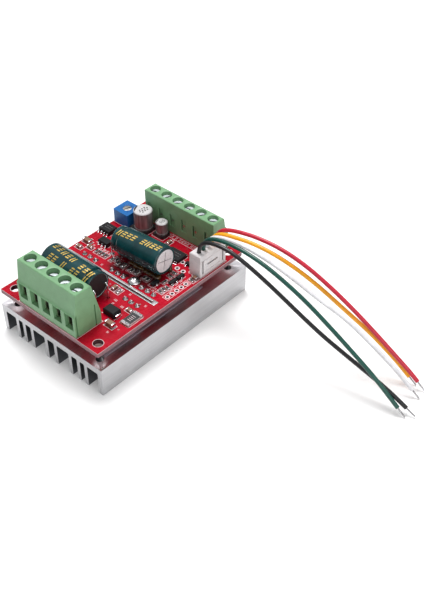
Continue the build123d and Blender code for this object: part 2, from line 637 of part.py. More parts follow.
# Capacitors -----------------------------------------------------------------------------------
def capacitor_place(seal, vent):
    """A frame at the seal end whose +X runs along the can to its vent end."""
    axis = (Vector(*vent) - Vector(*seal)).normalized()
    across = Vector(0, 0, 1).cross(axis).normalized()
    return Plane(origin=seal, x_dir=axis, z_dir=axis.cross(across)).location


def capacitor_form(radius, length, inset):
    """A can along +X from its seal end, narrower up to a rolled groove; inset shortens it."""
    start, end = inset, length - inset
    corner, reach = CAN_CORNER, GROOVE_HALF_WIDTH
    bulge = corner * (1 - math.sqrt(0.5))
    neck, low, groove = radius - NECK_DEPTH, radius - GROOVE_DEPTH, GROOVE_FROM_END
    edge = [
        Line((start, 0), (start, neck - corner)),
        ThreePointArc((start, neck - corner), (start + bulge, neck - bulge), (start + corner, neck)),
        Line((start + corner, neck), (groove - reach, neck)),
        Spline((groove - reach, neck), (groove, low), (groove + reach, radius), tangents=((1, 0), (1, 0))),
        Line((groove + reach, radius), (end - corner, radius)),
        ThreePointArc((end - corner, radius), (end - bulge, radius - bulge), (end, radius - corner)),
        Line((end, radius - corner), (end, 0)),
        Line((end, 0), (start, 0)),
    ]
    return revolve(Plane.XZ * make_face(edge), Axis.X)


def along_x(x0, x1, radius):
    """A cylinder along X."""
    return Pos((x0 + x1) / 2, 0, 0) * Rot(0, 90, 0) * Cylinder(radius, x1 - x0)


def capacitor_parts():
    """Cans, sleeves, seals and leads of the lying capacitors, each a list."""
    cans, sleeves, seals, leads = [], [], [], []
    score_half, score_width, score_depth = VENT_SCORE
    for seal_end, vent_end, radius, lead_end in CAPACITORS:
        place = capacitor_place(seal_end, vent_end)
        length = (Vector(*vent_end) - Vector(*seal_end)).length
        metal = capacitor_form(radius - SLEEVE_THICKNESS, length, SLEEVE_THICKNESS)
        pocket = along_x(-1, SEAL_LENGTH, radius - SEAL_INSET)
        vent = length - SLEEVE_THICKNESS
        scores = block(vent - score_depth, vent + 1, -score_half, score_half, -score_width, score_width)
        scores += Rot(90, 0, 0) * scores
        cans.append(place * (metal - pocket - scores))
        sleeve = capacitor_form(radius, length, 0) - metal
        sleeve -= along_x(-1, length + 1, radius - SLEEVE_LIP)
        sleeves.append(place * sleeve)
        seal = along_x(SEAL_RECESS, SEAL_LENGTH, radius - SEAL_INSET)
        for offset in (-CAPACITOR_LEAD_OFFSET, CAPACITOR_LEAD_OFFSET):
            seal -= Pos(0, offset, 0) * along_x(-1, SEAL_LENGTH + 1, CAPACITOR_LEAD_RADIUS)
            inner = (place * Pos(SEAL_LENGTH, offset, 0)).position
            corner = (place * Pos(-CAPACITOR_LEAD_RUN, offset, 0)).position
            foot = Vector(corner.X, corner.Y, lead_end)
            path = FilletPolyline(inner, corner, foot, radius=CAPACITOR_LEAD_BEND)
            start = Plane(origin=path @ 0, z_dir=path % 0)
            leads.append(sweep(start * Circle(CAPACITOR_LEAD_RADIUS), path))
        seals.append(place * seal)
    return cans, sleeves, seals, leads


def capacitor_lead_ends():
    """Where the lying capacitors' leads go through the board."""
    ends = []
    for seal_end, vent_end, _, _ in CAPACITORS:
        for offset in (-CAPACITOR_LEAD_OFFSET, CAPACITOR_LEAD_OFFSET):
            spot = capacitor_place(seal_end, vent_end) * Pos(-CAPACITOR_LEAD_RUN, offset, 0)
            ends.append((spot.position.X, spot.position.Y))
    return ends


def can_capacitor_parts():
    """Cans and moulded bases of the two small standing capacitors."""
    cans, bases = [], []
    waist_bottom, waist_top, waist_depth = CAN_WAIST
    for x, y, radius, height in CAN_CAPACITORS:
        can = rod(0, 0, CAN_BOTTOM, height, radius)
        can = chamfer([e for e in can.edges() if e.center().Z > height - 0.01], CAN_TOP_CHAMFER)
        waist = rod(0, 0, waist_bottom, waist_top, radius + 1)
        can -= waist - rod(0, 0, 0, height, radius - waist_depth)
        cans.append(Pos(x, y, 0) * can)
        side = 2 * (radius + CAN_BASE_MARGIN)
        foot = extrude(Rectangle(side, side), CAN_BASE_HEIGHT)
        cut_corners = [e for e in foot.edges().filter_by(Axis.Z) if e.center().X > 0]
        foot = chamfer(cut_corners, radius * CAN_BASE_CUT)
        bases.append(Pos(x, y, 0) * (foot - rod(0, 0, CAN_BOTTOM, height, radius + 0.02)))
    return cans, bases


# Trimmer --------------------------------------------------------------------------------------
def trimmer_pins_at():
    x, y = TRIMMER_CENTRE
    return [(x + dx, y + dy) for dx, dy in TRIMMER_PIN_SPOTS]


def trimmer_body():
    """A square body with a well for the rotor."""
    x, y = TRIMMER_CENTRE
    half = TRIMMER_SIZE / 2
    body = block(x - half, x + half, y - half, y + half, 0, TRIMMER_HEIGHT)
    body = chamfer(body.edges().filter_by(Axis.Z), 0.2)
    bottom = TRIMMER_HEIGHT - ROTOR_HEIGHT - 0.1
    body -= rod(x, y, bottom, TRIMMER_HEIGHT + 1, ROTOR_RADIUS + ROTOR_CLEARANCE)
    return body - trimmer_pins(-1)


def trimmer_pins(bottom=PIN_END):
    return [rod(x, y, bottom, TRIMMER_PIN_TOP, TRIMMER_PIN_RADIUS) for x, y in trimmer_pins_at()]


def trimmer_rotor():
    """The slotted disc that is turned with a screwdriver."""
    x, y = TRIMMER_CENTRE
    rotor = rod(x, y, TRIMMER_HEIGHT - ROTOR_HEIGHT, TRIMMER_HEIGHT - ROTOR_RECESS, ROTOR_RADIUS)
    reach, half, bottom = ROTOR_RADIUS + 1, SLOT_WIDTH / 2, TRIMMER_HEIGHT - SLOT_DEPTH
    slot = block(-reach, reach, -half, half, bottom, TRIMMER_HEIGHT + 1)
    return rotor - Pos(x, y, 0) * Rot(0, 0, ROTOR_SLOT_ANGLE) * slot


# Signal connector -----------------------------------------------------------------------------
def header_pins_at():
    x, y = HEADER_CENTRE
    return [(x, y + (i - (WAYS - 1) / 2) * WAY_PITCH) for i in range(WAYS)]


def connector_header():
    """An open box with key slots, a panel and a slit in its outer wall."""
    x, y = HEADER_CENTRE
    deep, long = HEADER_DEPTH / 2, HEADER_LENGTH / 2
    shell = block(x - deep, x + deep, y - long, y + long, 0, HEADER_HEIGHT)
    inner_x, inner_y = deep - HEADER_WALL, long - HEADER_END_WALL
    shell -= block(x - inner_x, x + inner_x, y - inner_y, y + inner_y, HEADER_FLOOR, HEADER_HEIGHT + 1)
    outside = x + deep + 1
    for side in (-1, 1):
        slot_y, half = y + side * (inner_y - KEY_SLOT_FROM_END), KEY_SLOT_WIDTH / 2
        shell -= block(x, outside, slot_y - half, slot_y + half, HEADER_FLOOR, HEADER_HEIGHT + 1)
    half, bottom, top, depth = OUTER_PANEL
    shell -= block(x + deep - depth, outside, y - half, y + half, bottom, top)
    half, bottom, top = OUTER_SLIT
    shell -= block(x, outside, y - half, y + half, bottom, top)
    for pin_x, pin_y in header_pins_at():
        shell -= square_pin(pin_x, pin_y, -1, HEADER_FLOOR + 1)
    return shell


def square_pin(x, y, z0, z1):
    half = HEADER_PIN / 2
    return block(x - half, x + half, y - half, y + half, z0, z1)


def plug_housing():
    """The mating housing: a block in the header, and a flange above it with a wire hole each way."""
    x, y = HEADER_CENTRE
    deep, long = HEADER_DEPTH / 2, HEADER_LENGTH / 2
    inner_x = deep - HEADER_WALL - PLUG_CLEARANCE
    inner_y = long - HEADER_END_WALL - PLUG_CLEARANCE
    bottom = HEADER_FLOOR + PLUG_LIFT
    body = block(x - inner_x, x + inner_x, y - inner_y, y + inner_y, bottom, PLUG_TOP)
    deep, long = deep - FLANGE_INSET, long - FLANGE_INSET
    flange = block(x - deep, x + deep, y - long, y + long, HEADER_HEIGHT + FLANGE_INSET, PLUG_TOP)
    flange = chamfer([e for e in flange.edges() if e.center().Z > PLUG_TOP - 0.01], FLANGE_CHAMFER)
    body += flange
    floor = PLUG_TOP - WIRE_SOCKET_DEPTH
    wire_hole = WIRE_DIAMETER / 2 + WIRE_HOLE_CLEARANCE
    for hole_x, hole_y in header_pins_at():
        body -= rod(hole_x, hole_y, floor - 0.1, PLUG_TOP + 1, wire_hole)
        body -= contact_form(hole_x, hole_y, HEADER_FLOOR, floor)
    return body


def contact_form(x, y, z0, z1):
    half = CONTACT_WIDTH / 2
    return block(x - half, x + half, y - half, y + half, z0, z1)


def plug_contacts():
    """Crimp contacts: square tubes that the header pins stand in, closed at the wire."""
    contacts = []
    floor = PLUG_TOP - WIRE_SOCKET_DEPTH
    bore = CONTACT_BORE / 2
    for x, y in header_pins_at():
        contact = contact_form(x, y, HEADER_FLOOR + PLUG_LIFT + 0.05, floor)
        bore_top = floor - CONTACT_CLOSED_END
        contacts.append(contact - block(x - bore, x + bore, y - bore, y + bore, 0, bore_top))
    return contacts


# Wires ----------------------------------------------------------------------------------------
def corner_radii(points):
    """0.45 of the shorter run beside each corner, divided by the tangent of half the turn."""
    spots = [Vector(*p) for p in points]
    radii = []
    for before, here, after in zip(spots, spots[1:], spots[2:]):
        run_in, run_out = here - before, after - here
        turn = math.radians(run_in.get_angle(run_out))
        radii.append(0.45 * min(run_in.length, run_out.length) / math.tan(turn / 2))
    return radii


def wire_and_tip(name, points):
    """The insulated wire, and the bare tinned end that goes straight on from it."""
    radii = corner_radii(points)
    path = FilletPolyline(*points, radius=radii)
    start = Plane(origin=path @ 0, z_dir=path % 0)
    tube = sweep(start * Circle(WIRE_DIAMETER / 2), path)
    ideal = math.pi * WIRE_DIAMETER**2 / 4 * path.length
    print(f"{name}: length {path.length:.1f}, volume ratio {tube.volume / ideal:.4f}")
    print(f"   least radius {min(radii):.2f} of", [round(r, 1) for r in radii])
    end = Plane(origin=path @ 1, z_dir=path % 1)
    tip = extrude(end * Circle(TIP_DIAMETER / 2), TIP_LENGTH)
    return tube, tip


# Small parts on the board ---------------------------------------------------------------------
def moulding(size_x, size_y, height, edge):
    """A package's body, a little above the board, with its top edges chamfered."""
    body = block(-size_x / 2, size_x / 2, -size_y / 2, size_y / 2, PACKAGE_LIFT, height)
    return chamfer([e for e in body.edges() if e.center().Z > height - 0.01], edge)


def gull_wing(x, y, size_x, size_y, height, near_count, far_count, pitch, span, turn):
    """A moulded package and its leads, which leave the two sides that face -Y and +Y at turn 0."""
    shoulder = height * 0.55
    reach, side = span / 2, size_y / 2
    out = (reach - side) * 0.45
    sheet = LEAD_SHEET
    outline = (
        (side, shoulder), (side + out, shoulder), (side + out + sheet, sheet), (reach, sheet),
        (reach, 0), (side + out, 0), (side + out - sheet, shoulder - sheet), (side, shoulder - sheet),
    )
    lead = extrude_along_x(outline, pitch * 0.17)
    place = Pos(x, y, 0) * Rot(0, 0, turn)
    leads = []
    for count, facing in ((near_count, Rot(0, 0, 180)), (far_count, Rot(0, 0, 0))):
        offsets = [(i - (count - 1) / 2) * pitch for i in range(count)]
        leads += [place * Pos(offset, 0, 0) * facing * lead for offset in offsets]
    return place * moulding(size_x, size_y, height, PACKAGE_CHAMFER), leads


def diode_parts():
    """A moulded diode with a bent tab at each end."""
    x, y, size_x, size_y, height = DIODE
    body = moulding(size_x, size_y, height, DIODE_CHAMFER)
    near, far = size_x / 2, size_x / 2 + DIODE_TAB_REACH
    outline = ((near, 1.15), (far, 1.15), (far, 0), (near + 0.02, 0), (near + 0.02, 0.2),
               (far - 0.2, 0.2), (far - 0.2, 0.95), (near, 0.95))
    tab = Rot(0, 0, -90) * extrude_along_x(outline, DIODE_TAB_WIDTH / 2)
    place = Pos(x, y, 0)
    return place * body, [place * tab, place * Rot(0, 0, 180) * tab]


def chip(x, y, length, width, height, lies_along_x):
    """A chip part's body, and the two metal caps that wrap its ends."""
    cap = length * END_CAP_SHARE
    skin = END_CAP_SKIN
    body = block(cap - length / 2, length / 2 - cap, -width / 2, width / 2, skin, height - skin)
    caps = [block(length / 2 - cap, length / 2, -width / 2, width / 2, 0, height)]
    caps.append(Rot(0, 0, 180) * caps[0])
    place = Pos(x, y, 0) * Rot(0, 0, 0 if lies_along_x else 90)
    return place * body, [place * c for c in caps]


# Write every node -----------------------------------------------------------------------------
save("heatsink", heatsink())
save("insulating_pad", insulating_pad(), BOARD)
save("circuit_board", circuit_board(), BOARD)
save("solder_joints", solder_joints(), BOARD)
save("bus_strip", bus_strip(), BOARD)

transistor_nodes = ("bodies", "tabs", "leads", "screws", "bushings")
for kind, solids in zip(transistor_nodes, transistor_parts()):
    save(f"transistor_{kind}", solids, BOARD)

save_terminal_block("front", FRONT_BLOCK, front_housing(), (35, 62, 20, 48, 10))
save_terminal_block("rear", REAR_BLOCK, rear_housing(), (15, 70, 40, 8, 55, 28))

capacitor_nodes = ("cans", "sleeves", "seals", "leads")
for kind, solids in zip(capacitor_nodes, capacitor_parts()):
    save(f"power_capacitor_{kind}", solids, BOARD)
for kind, solids in zip(("cans", "bases"), can_capacitor_parts()):
    save(f"smd_capacitor_{kind}", solids, BOARD)

save("trimmer_body", trimmer_body(), BOARD)
save("trimmer_rotor", trimmer_rotor(), BOARD)
save("trimmer_pins", trimmer_pins(), BOARD)

save("connector_header", connector_header(), BOARD)
save("header_pins", [square_pin(x, y, PIN_END, HEADER_PIN_TOP) for x, y in header_pins_at()], BOARD)
save("plug_housing", plug_housing(), BOARD)
save("plug_contacts", plug_contacts(), BOARD)

tips = []
for wire, route in WIRE_ROUTES.items():
    wire_tube, wire_tip = wire_and_tip(wire, route)
    save(wire, wire_tube)
    tips.append(wire_tip)
save("wire_tips", tips)

packages, package_leads = [], []
for spec in GULL_WING:
    package, leads = gull_wing(*spec)
    packages.append(package)
    package_leads += leads
diode_body, diode_tabs = diode_parts()
save("ic_packages", packages + [diode_body], BOARD)
save("package_leads", package_leads + diode_tabs, BOARD)

end_caps = []
for node, specs in (("chip_resistors", CHIP_RESISTORS), ("chip_capacitors", CHIP_CAPACITORS)):
    made = [chip(*spec) for spec in specs]
    save(node, [body for body, _ in made], BOARD)
    end_caps += [cap for _, caps in made for cap in caps]
save("chip_end_caps", end_caps, BOARD)
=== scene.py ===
"""Looks of the motor driver module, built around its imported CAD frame.

Everything is in metres in the row frame. Details on the circuit board are placed in millimetres
from the front left corner of its top face, through on_board().
"""

import json
import math
import random

import bmesh
import bpy
from mathutils import Matrix, Vector, noise


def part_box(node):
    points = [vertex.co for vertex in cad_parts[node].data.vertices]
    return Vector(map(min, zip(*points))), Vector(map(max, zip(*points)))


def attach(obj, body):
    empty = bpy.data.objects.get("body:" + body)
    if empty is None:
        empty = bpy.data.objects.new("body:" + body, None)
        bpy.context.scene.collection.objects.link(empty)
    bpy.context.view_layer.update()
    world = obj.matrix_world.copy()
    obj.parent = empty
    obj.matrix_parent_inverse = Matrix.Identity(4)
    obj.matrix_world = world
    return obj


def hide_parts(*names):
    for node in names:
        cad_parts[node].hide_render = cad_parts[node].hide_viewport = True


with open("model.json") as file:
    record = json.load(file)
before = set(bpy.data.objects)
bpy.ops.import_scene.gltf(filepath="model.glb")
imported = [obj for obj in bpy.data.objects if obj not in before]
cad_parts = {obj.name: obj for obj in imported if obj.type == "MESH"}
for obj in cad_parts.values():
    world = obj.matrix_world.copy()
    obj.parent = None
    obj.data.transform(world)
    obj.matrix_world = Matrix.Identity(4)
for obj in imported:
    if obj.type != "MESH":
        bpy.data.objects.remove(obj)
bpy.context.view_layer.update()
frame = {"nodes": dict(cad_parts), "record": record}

MM = 0.001
BOARD_LOW, BOARD_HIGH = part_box("circuit_board")
# Thickness of printed ink and of bare tinned copper on the board, in millimetres.
PRINT = 0.03
COPPER = 0.018


def on_board(x, y, z=0.0):
    """A point given in millimetres from the front left corner of the board's top face."""
    return Vector((BOARD_LOW.x + x * MM, BOARD_LOW.y + y * MM, BOARD_HIGH.z + z * MM))


def from_board(point):
    """The reverse of on_board()."""
    return (
        (point[0] - BOARD_LOW.x) / MM,
        (point[1] - BOARD_LOW.y) / MM,
        (point[2] - BOARD_HIGH.z) / MM,
    )


# Camera -----------------------------------------------------------------------------------------
# Angles in degrees, distance in metres, and lens and sensor in millimetres.
CAMERA_ANGLES = (41.28, 40.81, 0.26)
CAMERA_TARGET = on_board(51.55, 38.9)
CAMERA_DISTANCE = 0.27467
CAMERA_LENS = 54.78
CAMERA_SENSOR = 36


def make_camera():
    """Looks down on the front right corner of the board, from the photograph's place."""
    azimuth, elevation, roll = (math.radians(angle) for angle in CAMERA_ANGLES)
    back = Vector((
        math.sin(azimuth) * math.cos(elevation),
        -math.cos(azimuth) * math.cos(elevation),
        math.sin(elevation),
    ))
    data = bpy.data.cameras.new("camera")
    data.sensor_width = CAMERA_SENSOR
    data.lens = CAMERA_LENS
    data.clip_start = 0.005
    camera = bpy.data.objects.new("camera", data)
    camera.location = CAMERA_TARGET + back * CAMERA_DISTANCE
    facing = back.to_track_quat("Z", "Y") @ Matrix.Rotation(roll, 3, "Z").to_quaternion()
    camera.rotation_euler = facing.to_euler()
    bpy.context.scene.collection.objects.link(camera)
    bpy.context.scene.camera = camera


make_camera()


# Materials --------------------------------------------------------------------------------------
def srgb(red, green, blue):
    """A colour from its 0 to 255 values, as the linear values that shaders take."""
    def linear(value):
        value /= 255
        return value / 12.92 if value <= 0.04045 else ((value + 0.055) / 1.055) ** 2.4

    return linear(red), linear(green), linear(blue), 1.0


class Finish:
    """A Principled material with helpers for its patterns, which use object coordinates."""

    def __init__(self, name, **values):
        self.material = bpy.data.materials.new(name)
        self.material.use_nodes = True
        self.tree = self.material.node_tree
        self.shader = self.tree.nodes["Principled BSDF"]
        for socket, value in values.items():
            self.shader.inputs[socket.replace("_", " ")].default_value = value
        self.coordinates = self.tree.nodes.new("ShaderNodeTexCoord")

    def node(self, kind, inputs=(), **settings):
        """Adds a node. inputs holds pairs of a socket's name or number and its value or source."""
        made = self.tree.nodes.new(kind)
        for name, value in settings.items():
            setattr(made, name, value)
        for socket, value in inputs:
            if isinstance(value, bpy.types.NodeSocket):
                self.tree.links.new(value, made.inputs[socket])
            else:
                made.inputs[socket].default_value = value
        return made

    def drive(self, socket, source):
        """Feeds one of the shader's sockets from a node's output."""
        self.tree.links.new(source, self.shader.inputs[socket])

    def place(self, stretch=(1, 1, 1)):
        """Object coordinates, scaled along each axis."""
        return self.node(
            "ShaderNodeMapping", [("Vector", self.coordinates.outputs["Object"]), ("Scale", stretch)]
        ).outputs[0]

    def noise(self, size, detail=3.0, stretch=(1, 1, 1)):
        """Noise with features of about this size, in metres."""
        place = self.place(stretch)
        return self.node(
            "ShaderNodeTexNoise", [("Vector", place), ("Scale", 1 / size), ("Detail", detail)]
        ).outputs[0]

    def range(self, source, low, high, start=0.3, end=0.7):
        """The source's start to end spread over low to high."""
        return self.node(
            "ShaderNodeMapRange",
            [("Value", source), ("From Min", start), ("From Max", end), ("To Min", low), ("To Max", high)],
        ).outputs[0]

    def math(self, operation, a, b):
        """The result of one operation on two values, kept between 0 and 1."""
        made = self.node("ShaderNodeMath", [(0, a), (1, b)], operation=operation, use_clamp=True)
        return made.outputs[0]

    def blend(self, share, a, b):
        """A value between a and b, at share 0 and 1."""
        return self.node("ShaderNodeMix", [(0, share), (2, a), (3, b)]).outputs[0]

    def mix(self, share, a, b):
        """A colour between a and b, at share 0 and 1."""
        return self.node("ShaderNodeMix", [(0, share), (6, a), (7, b)], data_type="RGBA").outputs[2]

    def facing(self, axis, threshold):
        """1 where the surface faces along the axis (0, 1 or 2), either way."""
        parts = self.node("ShaderNodeSeparateXYZ", [(0, self.coordinates.outputs["Normal"])])
        size = self.node("ShaderNodeMath", [(0, parts.outputs[axis])], operation="ABSOLUTE").outputs[0]
        return self.math("GREATER_THAN", size, threshold)

    def along(self, axis):
        """The place along an axis, in metres."""
        return self.node("ShaderNodeSeparateXYZ", [(0, self.coordinates.outputs["Object"])]).outputs[axis]

    def bump(self, height, distance):
        """Relief from a 0 to 1 height."""
        made = self.node("ShaderNodeBump", [("Height", height), ("Distance", distance), ("Strength", 1.0)])
        self.drive("Normal", made.outputs[0])


def faded(colour, share):
    """The same colour, darkened to a share of itself."""
    return tuple(c * share for c in colour[:3]) + (1,)


def plastic(name, colour, roughness, grain=0.25 * MM, relief=0.004 * MM, **values):
    """Moulded plastic: a little uneven in colour and gloss, with a fine moulded grain."""
    finish = Finish(name, **values)
    shade = finish.range(finish.noise(3 * MM), 0, 1)
    finish.drive("Base Color", finish.mix(shade, faded(colour, 0.86), colour))
    finish.drive("Roughness", finish.range(finish.noise(0.8 * MM), roughness - 0.05, roughness + 0.07))
    finish.bump(finish.noise(grain, detail=2), relief)
    return finish


def metal(name, colour, roughness, stretch=(1, 1, 1), spread=0.1, relief=0.003 * MM):
    """Metal with fine drawn lines or wear, stretched along an axis."""
    finish = Finish(name, Metallic=1.0)
    shade = finish.range(finish.noise(1.2 * MM, stretch=stretch), 0, 1)
    finish.drive("Base Color", finish.mix(shade, faded(colour, 0.8), colour))
    fine = finish.noise(0.3 * MM, stretch=stretch)
    finish.drive("Roughness", finish.range(fine, roughness - spread / 2, roughness + spread / 2))
    finish.bump(fine, relief)
    return finish


def slot_shaded_metal(name, colour, roughness, top, **values):
    """Metal with painted shade in its slot: dark grey where it lies well under its top, but above the
    board.
    """
    finish = metal(name, colour, roughness, **values)
    bright = finish.shader.inputs["Base Color"].links[0].from_socket
    height = finish.along(2)
    if not isinstance(top, float):
        front_top, rear_top = top
        behind = finish.math("GREATER_THAN", finish.along(1), 0.0)
        top = finish.blend(behind, front_top, rear_top)
    painted_slot_shade = finish.math("LESS_THAN", height, finish.math("SUBTRACT", top, 0.3 * MM))
    above = finish.math("GREATER_THAN", height, BOARD_HIGH.z)
    # Painted shade: a dark grey where the metal lies deep in a slot.
    finish.drive("Base Color", finish.mix(finish.math("MULTIPLY", painted_slot_shade, above), bright, srgb(44, 44, 48)))
    return finish


def aluminium_finish():
    """Extruded aluminium: satin walls with lines along the fins, painted shade between the fins, and a
    polished mounting face.
    """
    finish = Finish("aluminium", Metallic=1.0)
    lines = finish.noise(0.35 * MM, stretch=(1, 0.015, 1), detail=4)
    patches = finish.noise(6 * MM, detail=4)
    top = finish.facing(2, 0.9)
    end = finish.facing(1, 0.9)
    shade = finish.range(finish.math("ADD", lines, finish.math("MULTIPLY", patches, 0.5)), 0, 1, 0.5, 1.0)
    drawn = finish.mix(shade, srgb(182, 182, 184), srgb(200, 200, 202))
    bright = finish.mix(top, drawn, finish.mix(shade, srgb(206, 204, 208), srgb(226, 224, 228)))
    # Between the fins the walls get a dark grey: painted shade.
    low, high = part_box("heatsink")
    across = finish.along(0)
    past_left = finish.math("GREATER_THAN", across, low.x + MM)
    past_right = finish.math("LESS_THAN", across, high.x - MM)
    inner = finish.math("MULTIPLY", past_left, past_right)
    painted_fin_shade = finish.math("MULTIPLY", inner, finish.math("SUBTRACT", 1.0, finish.math("ADD", top, end)))
    finish.drive("Base Color", finish.mix(painted_fin_shade, bright, srgb(92, 94, 98)))
    satin = finish.range(lines, 0.38, 0.52)
    polished = finish.range(patches, 0.32, 0.4)
    sawn = finish.range(finish.noise(0.2 * MM, stretch=(1, 1, 0.15)), 0.4, 0.6)
    walls = finish.blend(end, satin, sawn)
    finish.drive("Roughness", finish.blend(top, walls, polished))
    relief = finish.math("MULTIPLY", lines, finish.math("SUBTRACT", 1.0, top))
    finish.bump(relief, 0.012 * MM)
    return finish


def can_finish():
    """A small standing can: a bright top, and walls drawn lengthwise."""
    finish = Finish("can_aluminium", Metallic=0.45)
    top = finish.facing(2, 0.6)
    lines = finish.noise(0.8 * MM, stretch=(1, 1, 0.15), detail=4)
    wall = finish.mix(finish.range(lines, 0, 1), srgb(104, 97, 98), srgb(150, 142, 143))
    lid = finish.mix(finish.range(finish.noise(0.6 * MM), 0, 1), srgb(196, 192, 194), srgb(216, 213, 214))
    finish.drive("Base Color", finish.mix(top, wall, lid))
    finish.drive("Roughness", finish.blend(top, 0.34, 0.42))
    finish.bump(lines, 0.004 * MM)
    return finish


def vent_finish():
    """A lying capacitor's bare end: frosted aluminium, paler than a drawn wall."""
    finish = Finish("vent_face", Metallic=0.1)
    frost = finish.noise(0.5 * MM, detail=5)
    shade = finish.range(frost, 0, 1)
    finish.drive("Base Color", finish.mix(shade, srgb(218, 214, 216), srgb(238, 236, 237)))
    finish.drive("Roughness", finish.range(frost, 0.45, 0.6))
    finish.bump(frost, 0.008 * MM)
    return finish


def flux_and_painted_shade(finish):
    """How dark the board is in front of the middle capacitor, 0 to 1: flux residue together with painted
    shade and a painted reflection of the dark capacitor.
    """
    low, high = on_board(13, 27.6), on_board(37, 38)
    patch = 1.0
    for axis, blur in ((0, 5 * MM), (1, 2.4 * MM)):
        place = finish.along(axis)
        into = finish.range(place, 0, 1, low[axis], low[axis] + blur)
        out = finish.range(place, 1, 0, high[axis] - blur, high[axis])
        patch = finish.math("MULTIPLY", patch, finish.math("MULTIPLY", into, out))
    cloudy = finish.range(finish.noise(2.2 * MM, detail=6), 0.7, 1.0, 0.35, 0.55)
    return finish.math("MULTIPLY", patch, cloudy)


def bar_finish():
    """Tinned bar: bright on top, with painted shade, a dark brown, on its sides."""
    finish = Finish("tinned_bar", Metallic=1.0)
    sides = finish.facing(1, 0.7)
    wear = finish.noise(0.8 * MM, stretch=(0.2, 1, 1), detail=4)
    bright = finish.mix(finish.range(wear, 0, 1), srgb(206, 202, 204), srgb(238, 236, 238))
    # Painted shade on the bar's sides.
    painted_side_shade = finish.mix(finish.range(wear, 0, 1), srgb(70, 46, 42), srgb(120, 98, 92))
    finish.drive("Base Color", finish.mix(sides, bright, painted_side_shade))
    finish.drive("Roughness", finish.blend(sides, 0.26, 0.55))
    finish.bump(wear, 0.01 * MM)
    return finish


def board_finish():
    """Red solder mask over copper, with flux stains and painted shade in front of the middle capacitor,
    bare edges that get a painted highlight along their top, and hole walls painted dark as shade.
    """
    finish = Finish("board", Coat_Weight=0.06, Coat_Roughness=0.1, Specular_IOR_Level=0.12)
    flat = finish.facing(2, 0.5)
    cloudy = finish.range(finish.noise(5 * MM, detail=5), 0, 1)
    mask = finish.mix(cloudy, srgb(154, 5, 28), srgb(182, 9, 38))
    # Flux residue and painted shade: the board darkens to near black in front of the middle capacitor.
    stained_and_shaded = finish.mix(flux_and_painted_shade(finish), mask, srgb(34, 5, 8))
    layers = finish.range(finish.noise(0.12 * MM, stretch=(0.1, 0.1, 1)), 0, 1)
    laminate = finish.mix(layers, srgb(112, 78, 84), srgb(152, 116, 120))
    # Painted highlight: the top of the bare edge is painted pale, as a rim catching the light.
    rim = finish.range(finish.along(2), 0, 1, on_board(0, 0, -0.3).z, on_board(0, 0, -0.15).z)
    edge = finish.mix(rim, laminate, srgb(206, 176, 180))
    # Painted shade: the walls of the holes, away from the outer edge, are painted a dark red-brown.
    hole_shade_mask = 1.0
    for axis in (0, 1):
        place = finish.along(axis)
        past_low = finish.math("GREATER_THAN", place, BOARD_LOW[axis] + 0.5 * MM)
        past_high = finish.math("LESS_THAN", place, BOARD_HIGH[axis] - 0.5 * MM)
        hole_shade_mask = finish.math("MULTIPLY", hole_shade_mask, finish.math("MULTIPLY", past_low, past_high))
    walls = finish.mix(hole_shade_mask, edge, srgb(64, 22, 26))
    finish.drive("Base Color", finish.mix(flat, walls, stained_and_shaded))
    finish.drive("Roughness", finish.range(finish.noise(1.5 * MM, detail=4), 0.2, 0.36))
    finish.bump(finish.noise(0.6 * MM, detail=3), 0.006 * MM)
    return finish


def sleeve_finish():
    """Shrunk PVC sleeve: glossy dark teal, with faint ripples round the can."""
    finish = Finish("sleeve", Coat_Weight=0.2, Coat_Roughness=0.16, Specular_IOR_Level=0.4)
    shade = finish.range(finish.noise(4 * MM, detail=3), 0, 1)
    finish.drive("Base Color", finish.mix(shade, srgb(2, 44, 48), srgb(5, 64, 68)))
    ripple = finish.noise(1.6 * MM, stretch=(1, 0.35, 0.35), detail=2)
    finish.drive("Roughness", finish.range(ripple, 0.16, 0.25))
    finish.bump(ripple, 0.02 * MM)
    return finish


def chip_finish(name, top_colour, side_colour):
    """A chip part: a printed top on a ceramic body."""
    finish = Finish(name)
    top = finish.facing(2, 0.7)
    speckle = finish.range(finish.noise(0.15 * MM), 0, 1)
    sides = finish.mix(speckle, faded(side_colour, 0.85), side_colour)
    finish.drive("Base Color", finish.mix(top, sides, top_colour))
    finish.drive("Roughness", finish.range(finish.noise(0.5 * MM), 0.32, 0.5))
    finish.bump(speckle, 0.004 * MM)
    return finish


def solder_finish():
    """Bright solder: smooth, with dull frosty patches."""
    finish = Finish("solder", Metallic=1.0)
    frost = finish.noise(0.5 * MM, detail=4)
    shade = finish.range(frost, 0, 1)
    finish.drive("Base Color", finish.mix(shade, srgb(168, 166, 168), srgb(214, 212, 214)))
    finish.drive("Roughness", finish.range(frost, 0.1, 0.34))
    finish.bump(finish.noise(0.3 * MM, detail=2), 0.012 * MM)
    return finish


def glue_finish():
    """Hardened amber glue."""
    finish = Finish("glue", Transmission_Weight=0.25, IOR=1.48, Coat_Weight=0.5, Coat_Roughness=0.1)
    cloudy = finish.range(finish.noise(1.2 * MM, detail=4), 0, 1)
    finish.drive("Base Color", finish.mix(cloudy, srgb(40, 24, 8), srgb(110, 72, 26)))
    finish.drive("Roughness", finish.range(finish.noise(0.8 * MM), 0.15, 0.35))
    finish.bump(finish.noise(0.7 * MM, detail=3), 0.03 * MM)
    return finish


